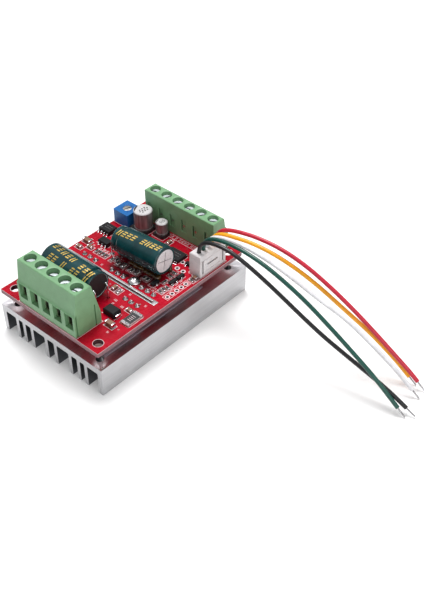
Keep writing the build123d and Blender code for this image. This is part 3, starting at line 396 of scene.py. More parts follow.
def ink_finish(name, colour, stained_and_shaded=False):
    """Printed ink, thin in places, and optionally darkened where the board has flux stains and painted
    shade.
    """
    finish = Finish(name)
    thin = finish.range(finish.noise(0.25 * MM, detail=4), 0, 1, 0.35, 0.5)
    shade = finish.mix(thin, faded(colour, 0.75), colour)
    if stained_and_shaded:
        # Where the board has flux stains and painted shade, the ink darkens with it.
        shade = finish.mix(flux_and_painted_shade(finish), shade, srgb(104, 62, 64))
    finish.drive("Base Color", shade)
    finish.drive("Roughness", finish.range(finish.noise(0.4 * MM), 0.42, 0.58))
    finish.bump(thin, 0.004 * MM)
    return finish


def gold_foil_finish():
    """Foil print: bright where it is whole, and duller where it is thin."""
    finish = Finish("gold_foil", Metallic=0.55)
    thin = finish.range(finish.noise(0.3 * MM, detail=4), 0, 1, 0.35, 0.6)
    finish.drive("Base Color", finish.mix(thin, srgb(164, 130, 52), srgb(226, 196, 104)))
    finish.drive("Roughness", finish.range(thin, 0.42, 0.3, 0, 1))
    finish.bump(thin, 0.005 * MM)
    return finish


def wire_finish(name, colour):
    """Extruded insulation: satin, with a faint drawn grain."""
    finish = Finish(name, Coat_Weight=0.15, Coat_Roughness=0.2, Specular_IOR_Level=0.5)
    shade = finish.range(finish.noise(2.5 * MM, detail=3), 0, 1)
    finish.drive("Base Color", finish.mix(shade, faded(colour, 0.82), colour))
    finish.drive("Roughness", finish.range(finish.noise(0.6 * MM), 0.3, 0.45))
    finish.bump(finish.noise(1.4 * MM, detail=1), 0.006 * MM)
    return finish


WIRE_COLOURS = {
    "black": srgb(24, 24, 27),
    "green": srgb(6, 78, 66),
    "white": srgb(240, 239, 242),
    "yellow": srgb(250, 172, 12),
    "red": srgb(202, 30, 58),
}
MATERIALS = {
    "aluminium": aluminium_finish(),
    "board": board_finish(),
    "sleeve": sleeve_finish(),
    "solder": solder_finish(),
    "thermal_pad": plastic("thermal_pad", srgb(150, 140, 150), 0.7),
    "tinned_bar": bar_finish(),
    "black_epoxy": plastic(
        "black_epoxy", srgb(20, 20, 23), 0.52, grain=0.12 * MM, relief=0.006 * MM, Specular_IOR_Level=0.22
    ),
    "tinned_lead": metal("tinned_lead", srgb(224, 224, 228), 0.2),
    "zinc_steel": slot_shaded_metal(
        "zinc_steel", srgb(226, 230, 238), 0.42,
        (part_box("front_screw_1")[1].z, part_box("rear_screw_1")[1].z), spread=0.12,
    ),
    "nylon_bushing": plastic("nylon_bushing", srgb(222, 218, 206), 0.45),
    "terminal_green": plastic(
        "terminal_green", srgb(120, 166, 122), 0.45, grain=0.2 * MM, relief=0.005 * MM,
        Subsurface_Weight=0.08, Subsurface_Radius=(0.0006, 0.001, 0.0006), Subsurface_Scale=1.0,
    ),
    "nickel_brass": metal("nickel_brass", srgb(206, 200, 184), 0.3),
    "can_aluminium": can_finish(),
    "vent_face": vent_finish(),
    "seal_rubber": plastic("seal_rubber", srgb(20, 20, 22), 0.6, relief=0.01 * MM),
    "black_plastic": plastic("black_plastic", srgb(22, 22, 24), 0.4),
    "trimmer_blue": plastic("trimmer_blue", srgb(12, 100, 170), 0.4, Specular_IOR_Level=0.35),
    "rotor_metal": slot_shaded_metal(
        "rotor_metal", srgb(226, 222, 216), 0.34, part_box("trimmer_rotor")[1].z
    ),
    "connector_white": plastic(
        "connector_white", srgb(216, 211, 212), 0.38, relief=0.003 * MM,
        Subsurface_Weight=0.15, Subsurface_Radius=(0.001, 0.001, 0.001), Subsurface_Scale=1.0,
    ),
    "resistor_black": chip_finish("resistor_black", srgb(30, 30, 33), srgb(214, 210, 204)),
    "ceramic_brown": chip_finish("ceramic_brown", srgb(128, 92, 72), srgb(112, 78, 60)),
    "silkscreen": ink_finish("silkscreen", srgb(232, 208, 212), stained_and_shaded=True),
    "dark_ink": ink_finish("dark_ink", srgb(26, 26, 30)),
    "grey_ink": ink_finish("grey_ink", srgb(96, 94, 96)),
    "dial_ink": ink_finish("dial_ink", srgb(16, 44, 112)),
    "gold_foil": gold_foil_finish(),
    "glue": glue_finish(),
}
for wire_name, wire_colour in WIRE_COLOURS.items():
    MATERIALS[f"wire_{wire_name}"] = wire_finish(f"wire_{wire_name}", wire_colour)


# Cords ------------------------------------------------------------------------------------------
WIRE_DIAMETER = 0.0013
TIP_DIAMETER = 0.00055
TIP_LENGTH = 0.0034
# The same points as in the CAD source, in metres, and each wire's length.
WIRES = {
    "black": (0.0842, (
        (0.01846, 0.01375, 0.0234), (0.01846, 0.01375, 0.0262), (0.02, 0.0139, 0.0287),
        (0.0228, 0.01415, 0.03), (0.0268, 0.0145, 0.0304), (0.0316, 0.01495, 0.0297),
        (0.0382, 0.0155, 0.0272), (0.0462, 0.0162, 0.0234), (0.0544, 0.01695, 0.019),
        (0.063, 0.01775, 0.0146), (0.0726, 0.0187, 0.0108), (0.082, 0.01955, 0.0073),
        (0.0882, 0.02015, 0.0044), (0.092, 0.0205, 0.0023),
    )),
    "green": (0.0842, (
        (0.01846, 0.01575, 0.0234), (0.01846, 0.01575, 0.0263), (0.02, 0.0158, 0.029),
        (0.0229, 0.0159, 0.0305), (0.0273, 0.0161, 0.0314), (0.0334, 0.01635, 0.0314),
        (0.0408, 0.01665, 0.0302), (0.0486, 0.017, 0.0276), (0.0568, 0.01735, 0.0241),
        (0.0656, 0.0177, 0.0192), (0.0738, 0.018, 0.0143), (0.0814, 0.0183, 0.0095),
        (0.0872, 0.01855, 0.005), (0.0902, 0.0187, 0.00255),
    )),
    "white": (0.0827, (
        (0.01846, 0.01775, 0.0234), (0.01846, 0.01775, 0.026), (0.0199, 0.0179, 0.0284),
        (0.0227, 0.0183, 0.0297), (0.0269, 0.0189, 0.0303), (0.0327, 0.0197, 0.03),
        (0.0402, 0.0208, 0.0283), (0.0484, 0.022, 0.0253), (0.0572, 0.0233, 0.0214),
        (0.0666, 0.0245, 0.0184), (0.0756, 0.0256, 0.013), (0.0832, 0.0266, 0.0079),
        (0.0872, 0.02715, 0.0046), (0.0895, 0.0275, 0.00255),
    )),
    "yellow": (0.08, (
        (0.01846, 0.01975, 0.0234), (0.01846, 0.01975, 0.026), (0.0199, 0.02, 0.0284),
        (0.0226, 0.0205, 0.0296), (0.0266, 0.0212, 0.03), (0.0324, 0.0222, 0.0302),
        (0.0396, 0.02345, 0.0292), (0.0474, 0.0248, 0.0268), (0.0552, 0.0262, 0.0232),
        (0.0638, 0.0277, 0.0182), (0.0724, 0.0292, 0.0134), (0.0798, 0.0305, 0.0079),
        (0.0837, 0.0312, 0.0046), (0.0859, 0.03155, 0.0026),
    )),
    "red": (0.084, (
        (0.01846, 0.02175, 0.0234), (0.01846, 0.02175, 0.0262), (0.02, 0.022, 0.0289),
        (0.0229, 0.02235, 0.0304), (0.0272, 0.0229, 0.0313), (0.0332, 0.0237, 0.0318),
        (0.041, 0.02475, 0.0312), (0.0494, 0.02585, 0.0288), (0.0576, 0.02695, 0.0248),
        (0.066, 0.0281, 0.0198), (0.0744, 0.0292, 0.014), (0.082, 0.0302, 0.0084),
        (0.0866, 0.03085, 0.005), (0.089, 0.03115, 0.00285),
    )),
}


def shown(obj, material, body="base"):
    """Links a new piece, gives it its material, and sets it on its body."""
    if obj.name not in bpy.context.scene.collection.objects:
        bpy.context.scene.collection.objects.link(obj)
    obj.data.materials.clear()
    obj.data.materials.append(MATERIALS[material].material)
    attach(obj, body)
    return obj


def wire_tip(colour, end, direction):
    """The wire's bare end: seven tinned strands with a slow twist."""
    strand_radius = TIP_DIAMETER / 6
    side = direction.orthogonal().normalized()
    other = direction.cross(side)
    bm = bmesh.new()
    rings, sides, turns = 22, 8, 1.1
    for strand in range(7):
        centre_radius = 0 if strand == 6 else 2 * strand_radius
        rows = []
        for ring in range(rings + 1):
            share = ring / rings
            angle = 2 * math.pi * (strand / 6 + turns * share)
            spread = centre_radius * (1 - 0.15 * share)
            centre = end + direction * (TIP_LENGTH * share - 0.0004 * (1 - share))
            centre = centre + (side * math.cos(angle) + other * math.sin(angle)) * spread
            row = []
            for k in range(sides):
                turn = 2 * math.pi * k / sides
                offset = (side * math.cos(turn) + other * math.sin(turn)) * strand_radius
                row.append(bm.verts.new(centre + offset))
            rows.append(row)
        bridge(bm, rows)
    tip = mesh_piece(f"{colour}_wire_tip", bm, "solder", body="plug", smooth=True)
    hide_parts("wire_tips")
    return tip


def bridge(bm, rows, caps=True):
    """Faces between successive closed rings of vertices, and over both ends."""
    for lower, upper in zip(rows, rows[1:]):
        count = len(lower)
        for k in range(count):
            after = (k + 1) % count
            bm.faces.new((lower[k], lower[after], upper[after], upper[k]))
    if caps:
        bm.faces.new(list(reversed(rows[0])))
        bm.faces.new(rows[-1])


def mesh_piece(name, bm, material, body="base", smooth=False):
    """Turns a bmesh into a shown piece with its faces turned outwards."""
    bmesh.ops.recalc_face_normals(bm, faces=bm.faces)
    mesh = bpy.data.meshes.new(name)
    bm.to_mesh(mesh)
    bm.free()
    if smooth:
        mesh.shade_smooth()
    return shown(bpy.data.objects.new(name, mesh), material, body)


def make_wire(colour, points):
    """One of the plug's five wires, with its tinned tip, in place of its CAD tube."""
    curve = bpy.data.curves.new(f"{colour}_cord", "CURVE")
    curve.dimensions = "3D"
    curve.resolution_u = 16
    curve.bevel_depth = WIRE_DIAMETER / 2
    curve.bevel_resolution = 7
    curve.use_fill_caps = True
    spline = curve.splines.new("NURBS")
    spline.points.add(len(points) - 1)
    for spot, point in zip(points, spline.points):
        point.co = (*spot, 1)
    spline.order_u = 3
    spline.use_endpoint_u = True
    cord = shown(
        bpy.data.objects.new(f"{colour}_cord", curve), f"wire_{colour}", "plug"
    )
    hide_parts(f"{colour}_wire")
    end, before = Vector(points[-1]), Vector(points[-2])
    tip = wire_tip(colour, end, (end - before).normalized())


for wire_name, (wire_length, wire_points) in WIRES.items():
    make_wire(wire_name, wire_points)


# CAD nodes: finishes and softened edges ---------------------------------------------------------
for part in frame["record"]["subparts"]:
    part_mesh = frame["nodes"][part["node"]].data
    part_mesh.materials.clear()
    part_mesh.materials.append(MATERIALS[part["material_slot"]].material)

vent_mesh = frame["nodes"]["power_capacitor_cans"].data
vent_mesh.materials[0] = MATERIALS["vent_face"].material

# Radius of the softened edges of each moulded or cut piece, in millimetres.
EDGE_RADII = {
    "circuit_board": 0.06,
    "heatsink": 0.12,
    "front_terminal_housing": 0.08,
    "rear_terminal_housing": 0.08,
    "connector_header": 0.05,
    "plug_housing": 0.05,
    "trimmer_body": 0.12,
    "trimmer_rotor": 0.05,
    "bus_strip": 0.06,
    "ic_packages": 0.06,
    "package_leads": 0.03,
    "smd_capacitor_bases": 0.08,
    "chip_resistors": 0.03,
    "chip_capacitors": 0.05,
    "chip_end_caps": 0.05,
}


def soften(name, radius):
    """Rounds a CAD node's sharp edges with modifiers, which leave its mesh as it is."""
    obj = frame["nodes"][name]
    weld = obj.modifiers.new("weld", "WELD")
    weld.merge_threshold = 0.000002
    bevel = obj.modifiers.new("edges", "BEVEL")
    bevel.width = radius * MM
    bevel.segments = 2
    bevel.limit_method = "ANGLE"
    bevel.angle_limit = math.radians(40)
    bevel.miter_outer = "MITER_ARC"
    normals = obj.modifiers.new("normals", "WEIGHTED_NORMAL")
    normals.weight = 100
    normals.keep_sharp = False


for node_name, edge_radius in EDGE_RADII.items():
    soften(node_name, edge_radius)


def islands(name):
    """The box of each separate solid in a CAD node, as pairs of corners in board millimetres."""
    mesh = frame["nodes"][name].data
    spots = [tuple(round(c * 1e6) for c in v.co) for v in mesh.vertices]
    parent = {spot: spot for spot in spots}

    def root(spot):
        while parent[spot] != spot:
            parent[spot] = parent[parent[spot]]
            spot = parent[spot]
        return spot

    for edge in mesh.edges:
        parent[root(spots[edge.vertices[0]])] = root(spots[edge.vertices[1]])
    groups = {}
    for spot in set(spots):
        groups.setdefault(root(spot), []).append(from_board([c * 1e-6 for c in spot]))
    boxes = [
        (Vector(map(min, zip(*group))), Vector(map(max, zip(*group)))) for group in groups.values()
    ]
    return sorted(boxes, key=lambda box: (round(box[0].y, 2), round(box[0].x, 2), round(box[0].z, 2)))


# Shapes for printed and soldered details --------------------------------------------------------
def slab(bm, x0, x1, y0, y1, z0=-0.01, z1=PRINT):
    """A box between board millimetres."""
    corners = [(x0, y0), (x1, y0), (x1, y1), (x0, y1)]
    prism(bm, corners, z0, z1)


def prism(bm, corners, z0=-0.01, z1=PRINT):
    """An upright solid on an outline, between two heights above the board."""
    lower = [bm.verts.new(on_board(x, y, z0)) for x, y in corners]
    upper = [bm.verts.new(on_board(x, y, z1)) for x, y in corners]
    bridge(bm, [lower, upper])


def circle(x, y, radius, count, start=0.0):
    """Points round a circle, in board millimetres."""
    steps = [start + 2 * math.pi * k / count for k in range(count)]
    return [(x + radius * math.cos(a), y + radius * math.sin(a)) for a in steps]


def washer(bm, x, y, inner, outer, z0=-0.01, z1=PRINT, count=28):
    """A flat ring."""
    loops = []
    for radius, z in ((inner, z0), (outer, z0), (outer, z1), (inner, z1)):
        loops.append([bm.verts.new(on_board(px, py, z)) for px, py in circle(x, y, radius, count)])
    bridge(bm, loops + [loops[0]], caps=False)


def frame_line(bm, low, high, width=0.16, gaps=()):
    """An outline between two corners, leaving out the sides named in gaps."""
    x0, y0, x1, y1 = low[0], low[1], high[0], high[1]
    half = width / 2
    sides = {
        "front": (x0 - half, x1 + half, y0 - half, y0 + half),
        "back": (x0 - half, x1 + half, y1 - half, y1 + half),
        "left": (x0 - half, x0 + half, y0 + half, y1 - half),
        "right": (x1 - half, x1 + half, y0 + half, y1 - half),
    }
    for side, box in sides.items():
        if side not in gaps:
            slab(bm, *box)


def stroke(bm, x, y, length, width, angle=0.0):
    """A short straight mark round a middle point."""
    along = Vector((math.cos(angle), math.sin(angle))) * length / 2
    across = Vector((-math.sin(angle), math.cos(angle))) * width / 2
    ends = ((-1, -1), (1, -1), (1, 1), (-1, 1))
    prism(bm, [Vector((x, y)) + along * a + across * b for a, b in ends])


def tick_group(bm, x, y, count, angle, rng, height=0.7):
    """A few fine strokes in a row: they stand for a part's printed reference."""
    step = 0.42
    for k in range(count):
        offset = (k - (count - 1) / 2) * step
        px = x + offset * math.cos(angle)
        py = y + offset * math.sin(angle)
        tall = height * (0.75 + 0.25 * rng.random())
        stroke(bm, px, py, tall, 0.14, angle + math.pi / 2)
        if rng.random() < 0.5:
            side = rng.choice((-1, 1)) * tall * 0.4
            stroke(bm, px - side * math.sin(angle), py + side * math.cos(angle), 0.34, 0.13, angle)


# Solder -----------------------------------------------------------------------------------------
def bead(bm, x, y, radius, height, side, rng, base=0.0, dome=False):
    """A lump of solder on the board's top (side 1) or underside (-1), uneven as hand work is."""
    rings, count = 9, 22
    phase = Vector((rng.random(), rng.random(), rng.random())) * 40
    lean = Vector((rng.uniform(-1, 1), rng.uniform(-1, 1))) * 0.12 * radius
    rows = []
    for ring in range(rings):
        share = ring / (rings - 1)
        if dome:
            reach = math.cos(share * math.pi / 2 * 0.97)
            rise = math.sin(share * math.pi / 2)
        else:
            reach = 1 - 0.72 * share ** 0.62 - 0.2 * share ** 4
            rise = share ** 1.5 * 0.55 + 0.45 * share
        row = []
        for k in range(count):
            angle = 2 * math.pi * k / count
            way = Vector((math.cos(angle), math.sin(angle), share * 1.4))
            wobble = 1 + 0.16 * noise.noise(way * 1.3 + phase)
            r = radius * reach * wobble
            lump = 1 + 0.12 * noise.noise(way * 2.1 + phase * 1.7)
            px = x + lean.x * share + r * math.cos(angle)
            py = y + lean.y * share + r * math.sin(angle)
            row.append(bm.verts.new(on_board(px, py, base + side * height * rise * lump)))
        rows.append(row)
    bridge(bm, rows)


def make_solder():
    """Lumps of solder in place of the CAD joints."""
    rng = random.Random(11)
    bm = bmesh.new()
    thickness = (BOARD_HIGH.z - BOARD_LOW.z) / MM
    for low, high in islands("solder_joints"):
        middle = (low + high) / 2
        radius = (high.x - low.x) / 2
        on_top = middle.z > -thickness / 2
        height = (high.z if on_top else -thickness - low.z) * rng.uniform(0.88, 1.06)
        bead(
            bm, middle.x, middle.y, radius * rng.uniform(0.94, 1.06), height,
            1 if on_top else -1, rng, 0.0 if on_top else -thickness, dome=radius > 1.5,
        )
    joints = mesh_piece("solder_beads", bm, "solder", smooth=True)
    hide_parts("solder_joints")


make_solder()


# Bare tinned copper -----------------------------------------------------------------------------
HOLE_RADIUS = 0.36
COPPER_RING = 0.2
PRINT_RING_RADIUS = 0.82
HOLE_ROW_X = 40.6
HOLE_ROW_START = 31.0
HOLE_ROW_STEP = 2.04
HOLE_ROW = [(HOLE_ROW_X, HOLE_ROW_START + HOLE_ROW_STEP * i) for i in range(5)]
TEST_HOLES = [(33.3, 43.1), (35.8, 43.1), (32.6, 46.4)]
CORNER_INSET = 3.2
CORNER_HOLE_RADIUS = 1.55
VIA_COUNT = 34
VIA_CLEARANCE = 0.8
BOARD_WIDTH, BOARD_LENGTH = ((BOARD_HIGH[k] - BOARD_LOW[k]) / MM for k in (0, 1))


def make_pads():
    """Rings round the empty holes, lands under the chips and leads, and vias."""
    rng = random.Random(5)
    bm = bmesh.new()
    for x, y in HOLE_ROW + TEST_HOLES:
        washer(bm, x, y, HOLE_RADIUS, HOLE_RADIUS + COPPER_RING, z1=COPPER)
    lands = [box for box in islands("chip_end_caps") if box[0].z < 0.5]
    for low, high in lands:
        slab(bm, low.x - 0.15, high.x + 0.15, low.y - 0.15, high.y + 0.15, z1=COPPER)
    leads = islands("package_leads")
    for low, high in leads:
        slab(bm, low.x - 0.06, high.x + 0.06, low.y - 0.1, high.y + 0.1, z1=COPPER)
    taken = lands + leads + islands("ic_packages") + islands("bus_strip")
    gap = VIA_CLEARANCE
    left = VIA_COUNT
    while left:
        x, y = rng.uniform(2, 41), rng.uniform(10, 54)
        clear = not any(
            low.x - gap < x < high.x + gap and low.y - gap < y < high.y + gap for low, high in taken
        )
        if clear:
            washer(bm, x, y, 0.14, 0.27, z1=COPPER, count=12)
            left -= 1
    mesh_piece("bare_copper", bm, "solder")


make_pads()


# White print ------------------------------------------------------------------------------------
# Place and number of strokes of the generic marks that stand alone.
LONE_MARKS = (
    (30.0, 19.6, 3), (30.4, 18.0, 2), (33.6, 18.7, 3), (38.6, 23.6, 2), (11.5, 28.3, 3),
    (14.4, 28.6, 2), (20.6, 18.6, 2), (38.4, 8.2, 2), (31.4, 24.3, 2), (37.6, 44.5, 3),
)
EDGE_MARGIN = 0.12


def make_silkscreen():
    """Outlines of the parts, rings round the holes, and marks beside them."""
    rng = random.Random(23)
    bm = bmesh.new()
    for x in (CORNER_INSET, BOARD_WIDTH - CORNER_INSET):
        for y in (CORNER_INSET, BOARD_LENGTH - CORNER_INSET):
            washer(bm, x, y, CORNER_HOLE_RADIUS + 0.02, CORNER_HOLE_RADIUS + 0.16, count=36)
    for name, margin in (("front_terminal_housing", 0.25), ("rear_terminal_housing", 0.2)):
        low, high = (from_board(p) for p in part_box(name))
        frame_line(
            bm, (low[0] - margin, max(low[1] - margin, 0.15)),
            (high[0] + margin, min(high[1] + margin, BOARD_LENGTH - 0.15)), 0.15,
        )
    for name in ("connector_header", "trimmer_body"):
        low, high = (from_board(p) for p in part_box(name))
        left, right = max(low[0] - 0.2, EDGE_MARGIN), min(high[0] + 0.2, BOARD_WIDTH - EDGE_MARGIN)
        frame_line(bm, (left, low[1] - 0.2), (right, high[1] + 0.2), 0.15)
    for low, high in islands("smd_capacitor_bases"):
        frame_line(bm, (low.x - 0.3, low.y - 0.3), (high.x + 0.3, high.y + 0.3), 0.14)
    for name in ("chip_resistors", "chip_capacitors"):
        for low, high in islands(name):
            stretch_x, stretch_y = (0.75, 0.3) if high.x - low.x > high.y - low.y else (0.3, 0.75)
            frame_line(
                bm, (low.x - stretch_x, low.y - stretch_y), (high.x + stretch_x, high.y + stretch_y), 0.13
            )
            if low.y > 30:
                middle_x, label_y = (low.x + high.x) / 2, high.y + stretch_y + 0.75
                tick_group(bm, middle_x, label_y, rng.choice((2, 3)), 0.0, rng)
    for low, high in islands("ic_packages"):
        corners = (low.x - 0.28, low.y - 0.1), (high.x + 0.28, high.y + 0.1)
        frame_line(bm, *corners, 0.14, ("front", "back"))
        washer(bm, low.x - 0.55, low.y + 0.1, 0.02, 0.18, count=12)
    for x, y in HOLE_ROW + TEST_HOLES:
        washer(bm, x, y, HOLE_RADIUS + COPPER_RING - 0.02, PRINT_RING_RADIUS)
    first = HOLE_ROW[0]
    frame_line(bm, (first[0] - 1.1, first[1] - 1.1), (first[0] + 1.1, HOLE_ROW[-1][1] + 1.1), 0.14)
    frame_line(bm, (32.1, 31.0), (34.5, 34.4), 0.14)
    frame_line(bm, (28.2, 31.9), (31.3, 33.8), 0.14)
    slab(bm, 21.1, 21.25, 30.9, 34.1)
    slab(bm, 26.95, 27.1, 31.9, 33.6)
    make_label_rows(bm, rng)
    mesh_piece("silkscreen", bm, "silkscreen")


def make_label_rows(bm, rng):
    """Rows of generic marks beside the terminals, the pad row and the small parts."""
    rear_low = from_board(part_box("rear_terminal_housing")[0])
    label_y, last_x = rear_low[1] - 1.0, 36.5
    x = 15.0
    while x < last_x:
        tick_group(bm, x, label_y, 2, 0.0, rng, 1.2)
        x += rng.choice((1.15, 1.15, 1.6))
    slab(bm, 15.0, last_x, label_y - 1.0, label_y - 0.86)
    for x, y in HOLE_ROW:
        tick_group(bm, x - 2.1, y, 3, math.pi / 2, rng, 0.9)
    for k in range(6):
        tick_group(bm, 8.2 + 1.4 * k, 34.2, 2, math.pi / 2, rng, 0.9)
    for k in range(5):
        tick_group(bm, 34.0 + 1.2 * (k % 3), 30.2 + 1.1 * (k // 3), 2, 0.0, rng, 0.8)
    for x, y, count in LONE_MARKS:
        tick_group(bm, x, y, count, 0.0, rng, 0.9)


make_silkscreen()


# Tracks under the solder mask -------------------------------------------------------------------
def make_tracks():
    """Copper that shows as low relief in the mask: wide pours at the power stage, and fine tracks."""
    rng = random.Random(3)
    bm = bmesh.new()
    height = 0.012
    for x in (8.75, 21.2, 34.2):
        slab(bm, x - 5.0, x - 1.6, 19.8, 24.8, z1=height)
        slab(bm, x - 1.2, x + 4.8, 23.2, 24.9, z1=height)
        slab(bm, x - 4.6, x + 1.0, 27.6, 28.1, z1=height)
    for k in range(7):
        x = 3.0 + 0.55 * k
        slab(bm, x, x + 0.25, 34.5 + 0.3 * k, 40.0, z1=height)
    for k in range(9):
        y = 30.6 + 0.6 * k
        slab(bm, 33.6 - 0.2 * k, 39.2, y, y + 0.22, z1=height)
    for k in range(12):
        x = 20.0 + 0.65 * k
        slab(bm, x, x + 0.25, 50.2, 52.2 + rng.uniform(0, 1.4), z1=height)
    mesh_piece("copper_tracks", bm, "board")


make_tracks()


# Marks on the parts -----------------------------------------------------------------------------
# Middle of the seal end, middle of the vent end and radius of each lying capacitor, in board
# millimetres, as in the CAD source.
LYING_CANS = (
    (Vector((26.1, 16.5, 5.3)), Vector((5.3, 16.5, 5.3)), 5.0),
    (Vector((13.9, 37.35, 5.3)), Vector((33.5, 37.65, 6.15)), 4.75),
)
# Sideways lean of a mark for each millimetre round the can.
MARK_SLANT = 0.28


def round_can(which, x, angle, radius):
    """A point round a lying can at board x: angle is from the top towards the front."""
    seal, vent, _ = LYING_CANS[which]
    middle = seal.lerp(vent, (x - seal.x) / (vent.x - seal.x))
    return middle + Vector((0, -radius * math.sin(angle), radius * math.cos(angle)))


def curved_mark(bm, which, x, width, angle, height):
    """A slanted foil mark on a lying can: angle is in degrees, the sizes are in millimetres."""
    steps = 7
    radius = LYING_CANS[which][2]
    loops = []
    for step in range(steps):
        share = step / (steps - 1) - 0.5
        turn = math.radians(angle) + share * height / radius
        shift = -MARK_SLANT * share * height
        row = []
        for side, depth in ((-0.5, -0.03), (0.5, -0.03), (0.5, 0.012), (-0.5, 0.012)):
            spot = round_can(which, x + side * width + shift, turn, radius + depth)
            row.append(bm.verts.new(on_board(*spot)))
        loops.append(row)
    bridge(bm, loops)


def bar_cell(bm, which, x, angle):
    """Two slanted bars, side by side along the can."""
    for side in (-0.45, 0.45):
        curved_mark(bm, which, x + side, 0.4, angle, 2.1)


def dash_cell(bm, which, x, angle):
    """Three short dashes, one above the other."""
    step = 0.82
    for row in (-1, 0, 1):
        turn = math.degrees(row * step / LYING_CANS[which][2])
        curved_mark(bm, which, x - MARK_SLANT * row * step, 1.35, angle + turn, 0.42)


def make_capacitor_marks():
    """Gold marks without meaning, where such a capacitor carries its rating."""
    rows = (
        # which can, first and last x, first and last angle, pattern: = dashes, / bars, space a gap
        (0, 7.6, 25.0, -10, 16, "==/=/ ==/"),
        (0, 8.8, 24.4, 36, 44, "== / == /"),
        (1, 16.2, 31.6, 24, 10, "/=== =/=="),
    )
    bm = bmesh.new()
    for which, first, last, first_angle, last_angle, pattern in rows:
        for k, kind in enumerate(pattern):
            share = k / (len(pattern) - 1)
            x = first + (last - first) * share
            angle = first_angle + (last_angle - first_angle) * share
            if kind == "=":
                dash_cell(bm, which, x, angle)
            elif kind == "/":
                bar_cell(bm, which, x, angle)
    mesh_piece("capacitor_marks", bm, "gold_foil")


make_capacitor_marks()


def make_can_marks():
    """The dark polarity segment on each small can, and rows of short dashes."""
    bm = bmesh.new()
    for low, high in islands("smd_capacitor_cans"):
        x, y = (low.x + high.x) / 2, (low.y + high.y) / 2
        radius = (high.x - low.x) / 2 - 0.28
        top = high.z
        half_angle = math.radians(38)
        arc = [math.radians(205) + half_angle * (k / 8 - 1) for k in range(17)]
        segment = [(x + radius * math.cos(a), y + radius * math.sin(a)) for a in arc]
        prism(bm, segment, top - 0.02, top + 0.01)
        size = radius / 2.9
        for row in (-1, 0, 1):
            for k in range(4 - abs(row)):
                px = x + (0.35 + 0.75 * row) * size
                py = y + (k - (3 - abs(row)) / 2) * 1.05 * size
                corners = circle(px, py, 0.36 * size, count=4, start=math.radians(20))
                prism(bm, corners, top - 0.02, top + 0.01)
    mesh_piece("can_polarity_marks", bm, "dark_ink")


make_can_marks()


def make_vent_score_shade():
    """Painted shade in the bottoms of the crossed scores in each lying can's vent end: thin dark strips.
    """
    bm = bmesh.new()
    for seal, vent, radius in LYING_CANS:
        axis = (vent - seal).normalized()
        side = axis.cross(Vector((0, 0, 1))).normalized()
        up = side.cross(axis)
        tilted, other = side + up * 0.25, up - side * 0.25
        for along, across in ((tilted, other), (other, tilted)):
            rows = []
            for depth in (-0.16, -0.1):
                middle = vent + axis * depth
                rows.append([
                    bm.verts.new(on_board(*(middle + along * (a * radius * 0.6) + across * (b * 0.06))))
                    for a, b in ((-1, -1), (1, -1), (1, 1), (-1, 1))
                ])
            bridge(bm, rows)
    # Here the dark ink is painted shade in the grooves, not print.
    mesh_piece("vent_score_shade", bm, "dark_ink")


make_vent_score_shade()


def make_package_marks():
    """A round moulding dimple's rim and faint dashes on the larger packages."""
    bm = bmesh.new()
    for low, high in islands("ic_packages"):
        width, depth, top = high.x - low.x, high.y - low.y, high.z
        if width < 4.5:
            continue
        washer(bm, low.x + 0.75, low.y + 0.75, 0.2, 0.32, top - 0.02, top + 0.008, count=16)
        for line in range(2):
            y = low.y + depth * (0.62 - 0.24 * line)
            for k in range(4):
                x = low.x + width * (0.3 + 0.14 * k)
                corners = [(x, y), (x + width * 0.09, y), (x + width * 0.09, y + 0.22), (x, y + 0.22)]
                prism(bm, corners, top - 0.02, top + 0.006)
    mesh_piece("package_marks", bm, "grey_ink")


make_package_marks()


def make_resistor_marks():
    """Short light dashes on the shunt and the larger chip resistor."""
    bm = bmesh.new()
    for low, high in islands("chip_resistors"):
        width, length = high.x - low.x, high.y - low.y
        if max(width, length) < 1.2:
            continue
        x, y = (low.x + high.x) / 2, (low.y + high.y) / 2
        size = min(width, length) * 0.42
        for k in range(4):
            offset = (k - 1.5) * length * 0.16
            prism(
                bm, [(x - size / 2, y + offset - 0.07), (x + size / 2, y + offset - 0.07),
                     (x + size / 2, y + offset + 0.07), (x - size / 2, y + offset + 0.07)],
                high.z - 0.02, high.z + 0.01,
            )
    mesh_piece("resistor_marks", bm, "silkscreen")


make_resistor_marks()


def make_trimmer_dial():
    """A printed ring and graduations round the trimmer's rotor."""
    low, high = (from_board(p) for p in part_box("trimmer_body"))
    x, y, top = (low[0] + high[0]) / 2, (low[1] + high[1]) / 2, high[2]
    bm = bmesh.new()
    for k in range(17):
        angle = math.radians(-135 + 270 / 16 * k)
        inner, outer = 1.75, 2.25 if k % 2 else 2.5
        way = Vector((math.sin(angle), math.cos(angle)))
        side = Vector((way.y, -way.x)) * 0.07
        corners = [way * inner - side, way * outer - side, way * outer + side, way * inner + side]
        prism(bm, [(x + c.x, y + c.y) for c in corners], top - 0.02, top + 0.01)
    mesh_piece("trimmer_dial", bm, "dial_ink")


make_trimmer_dial()


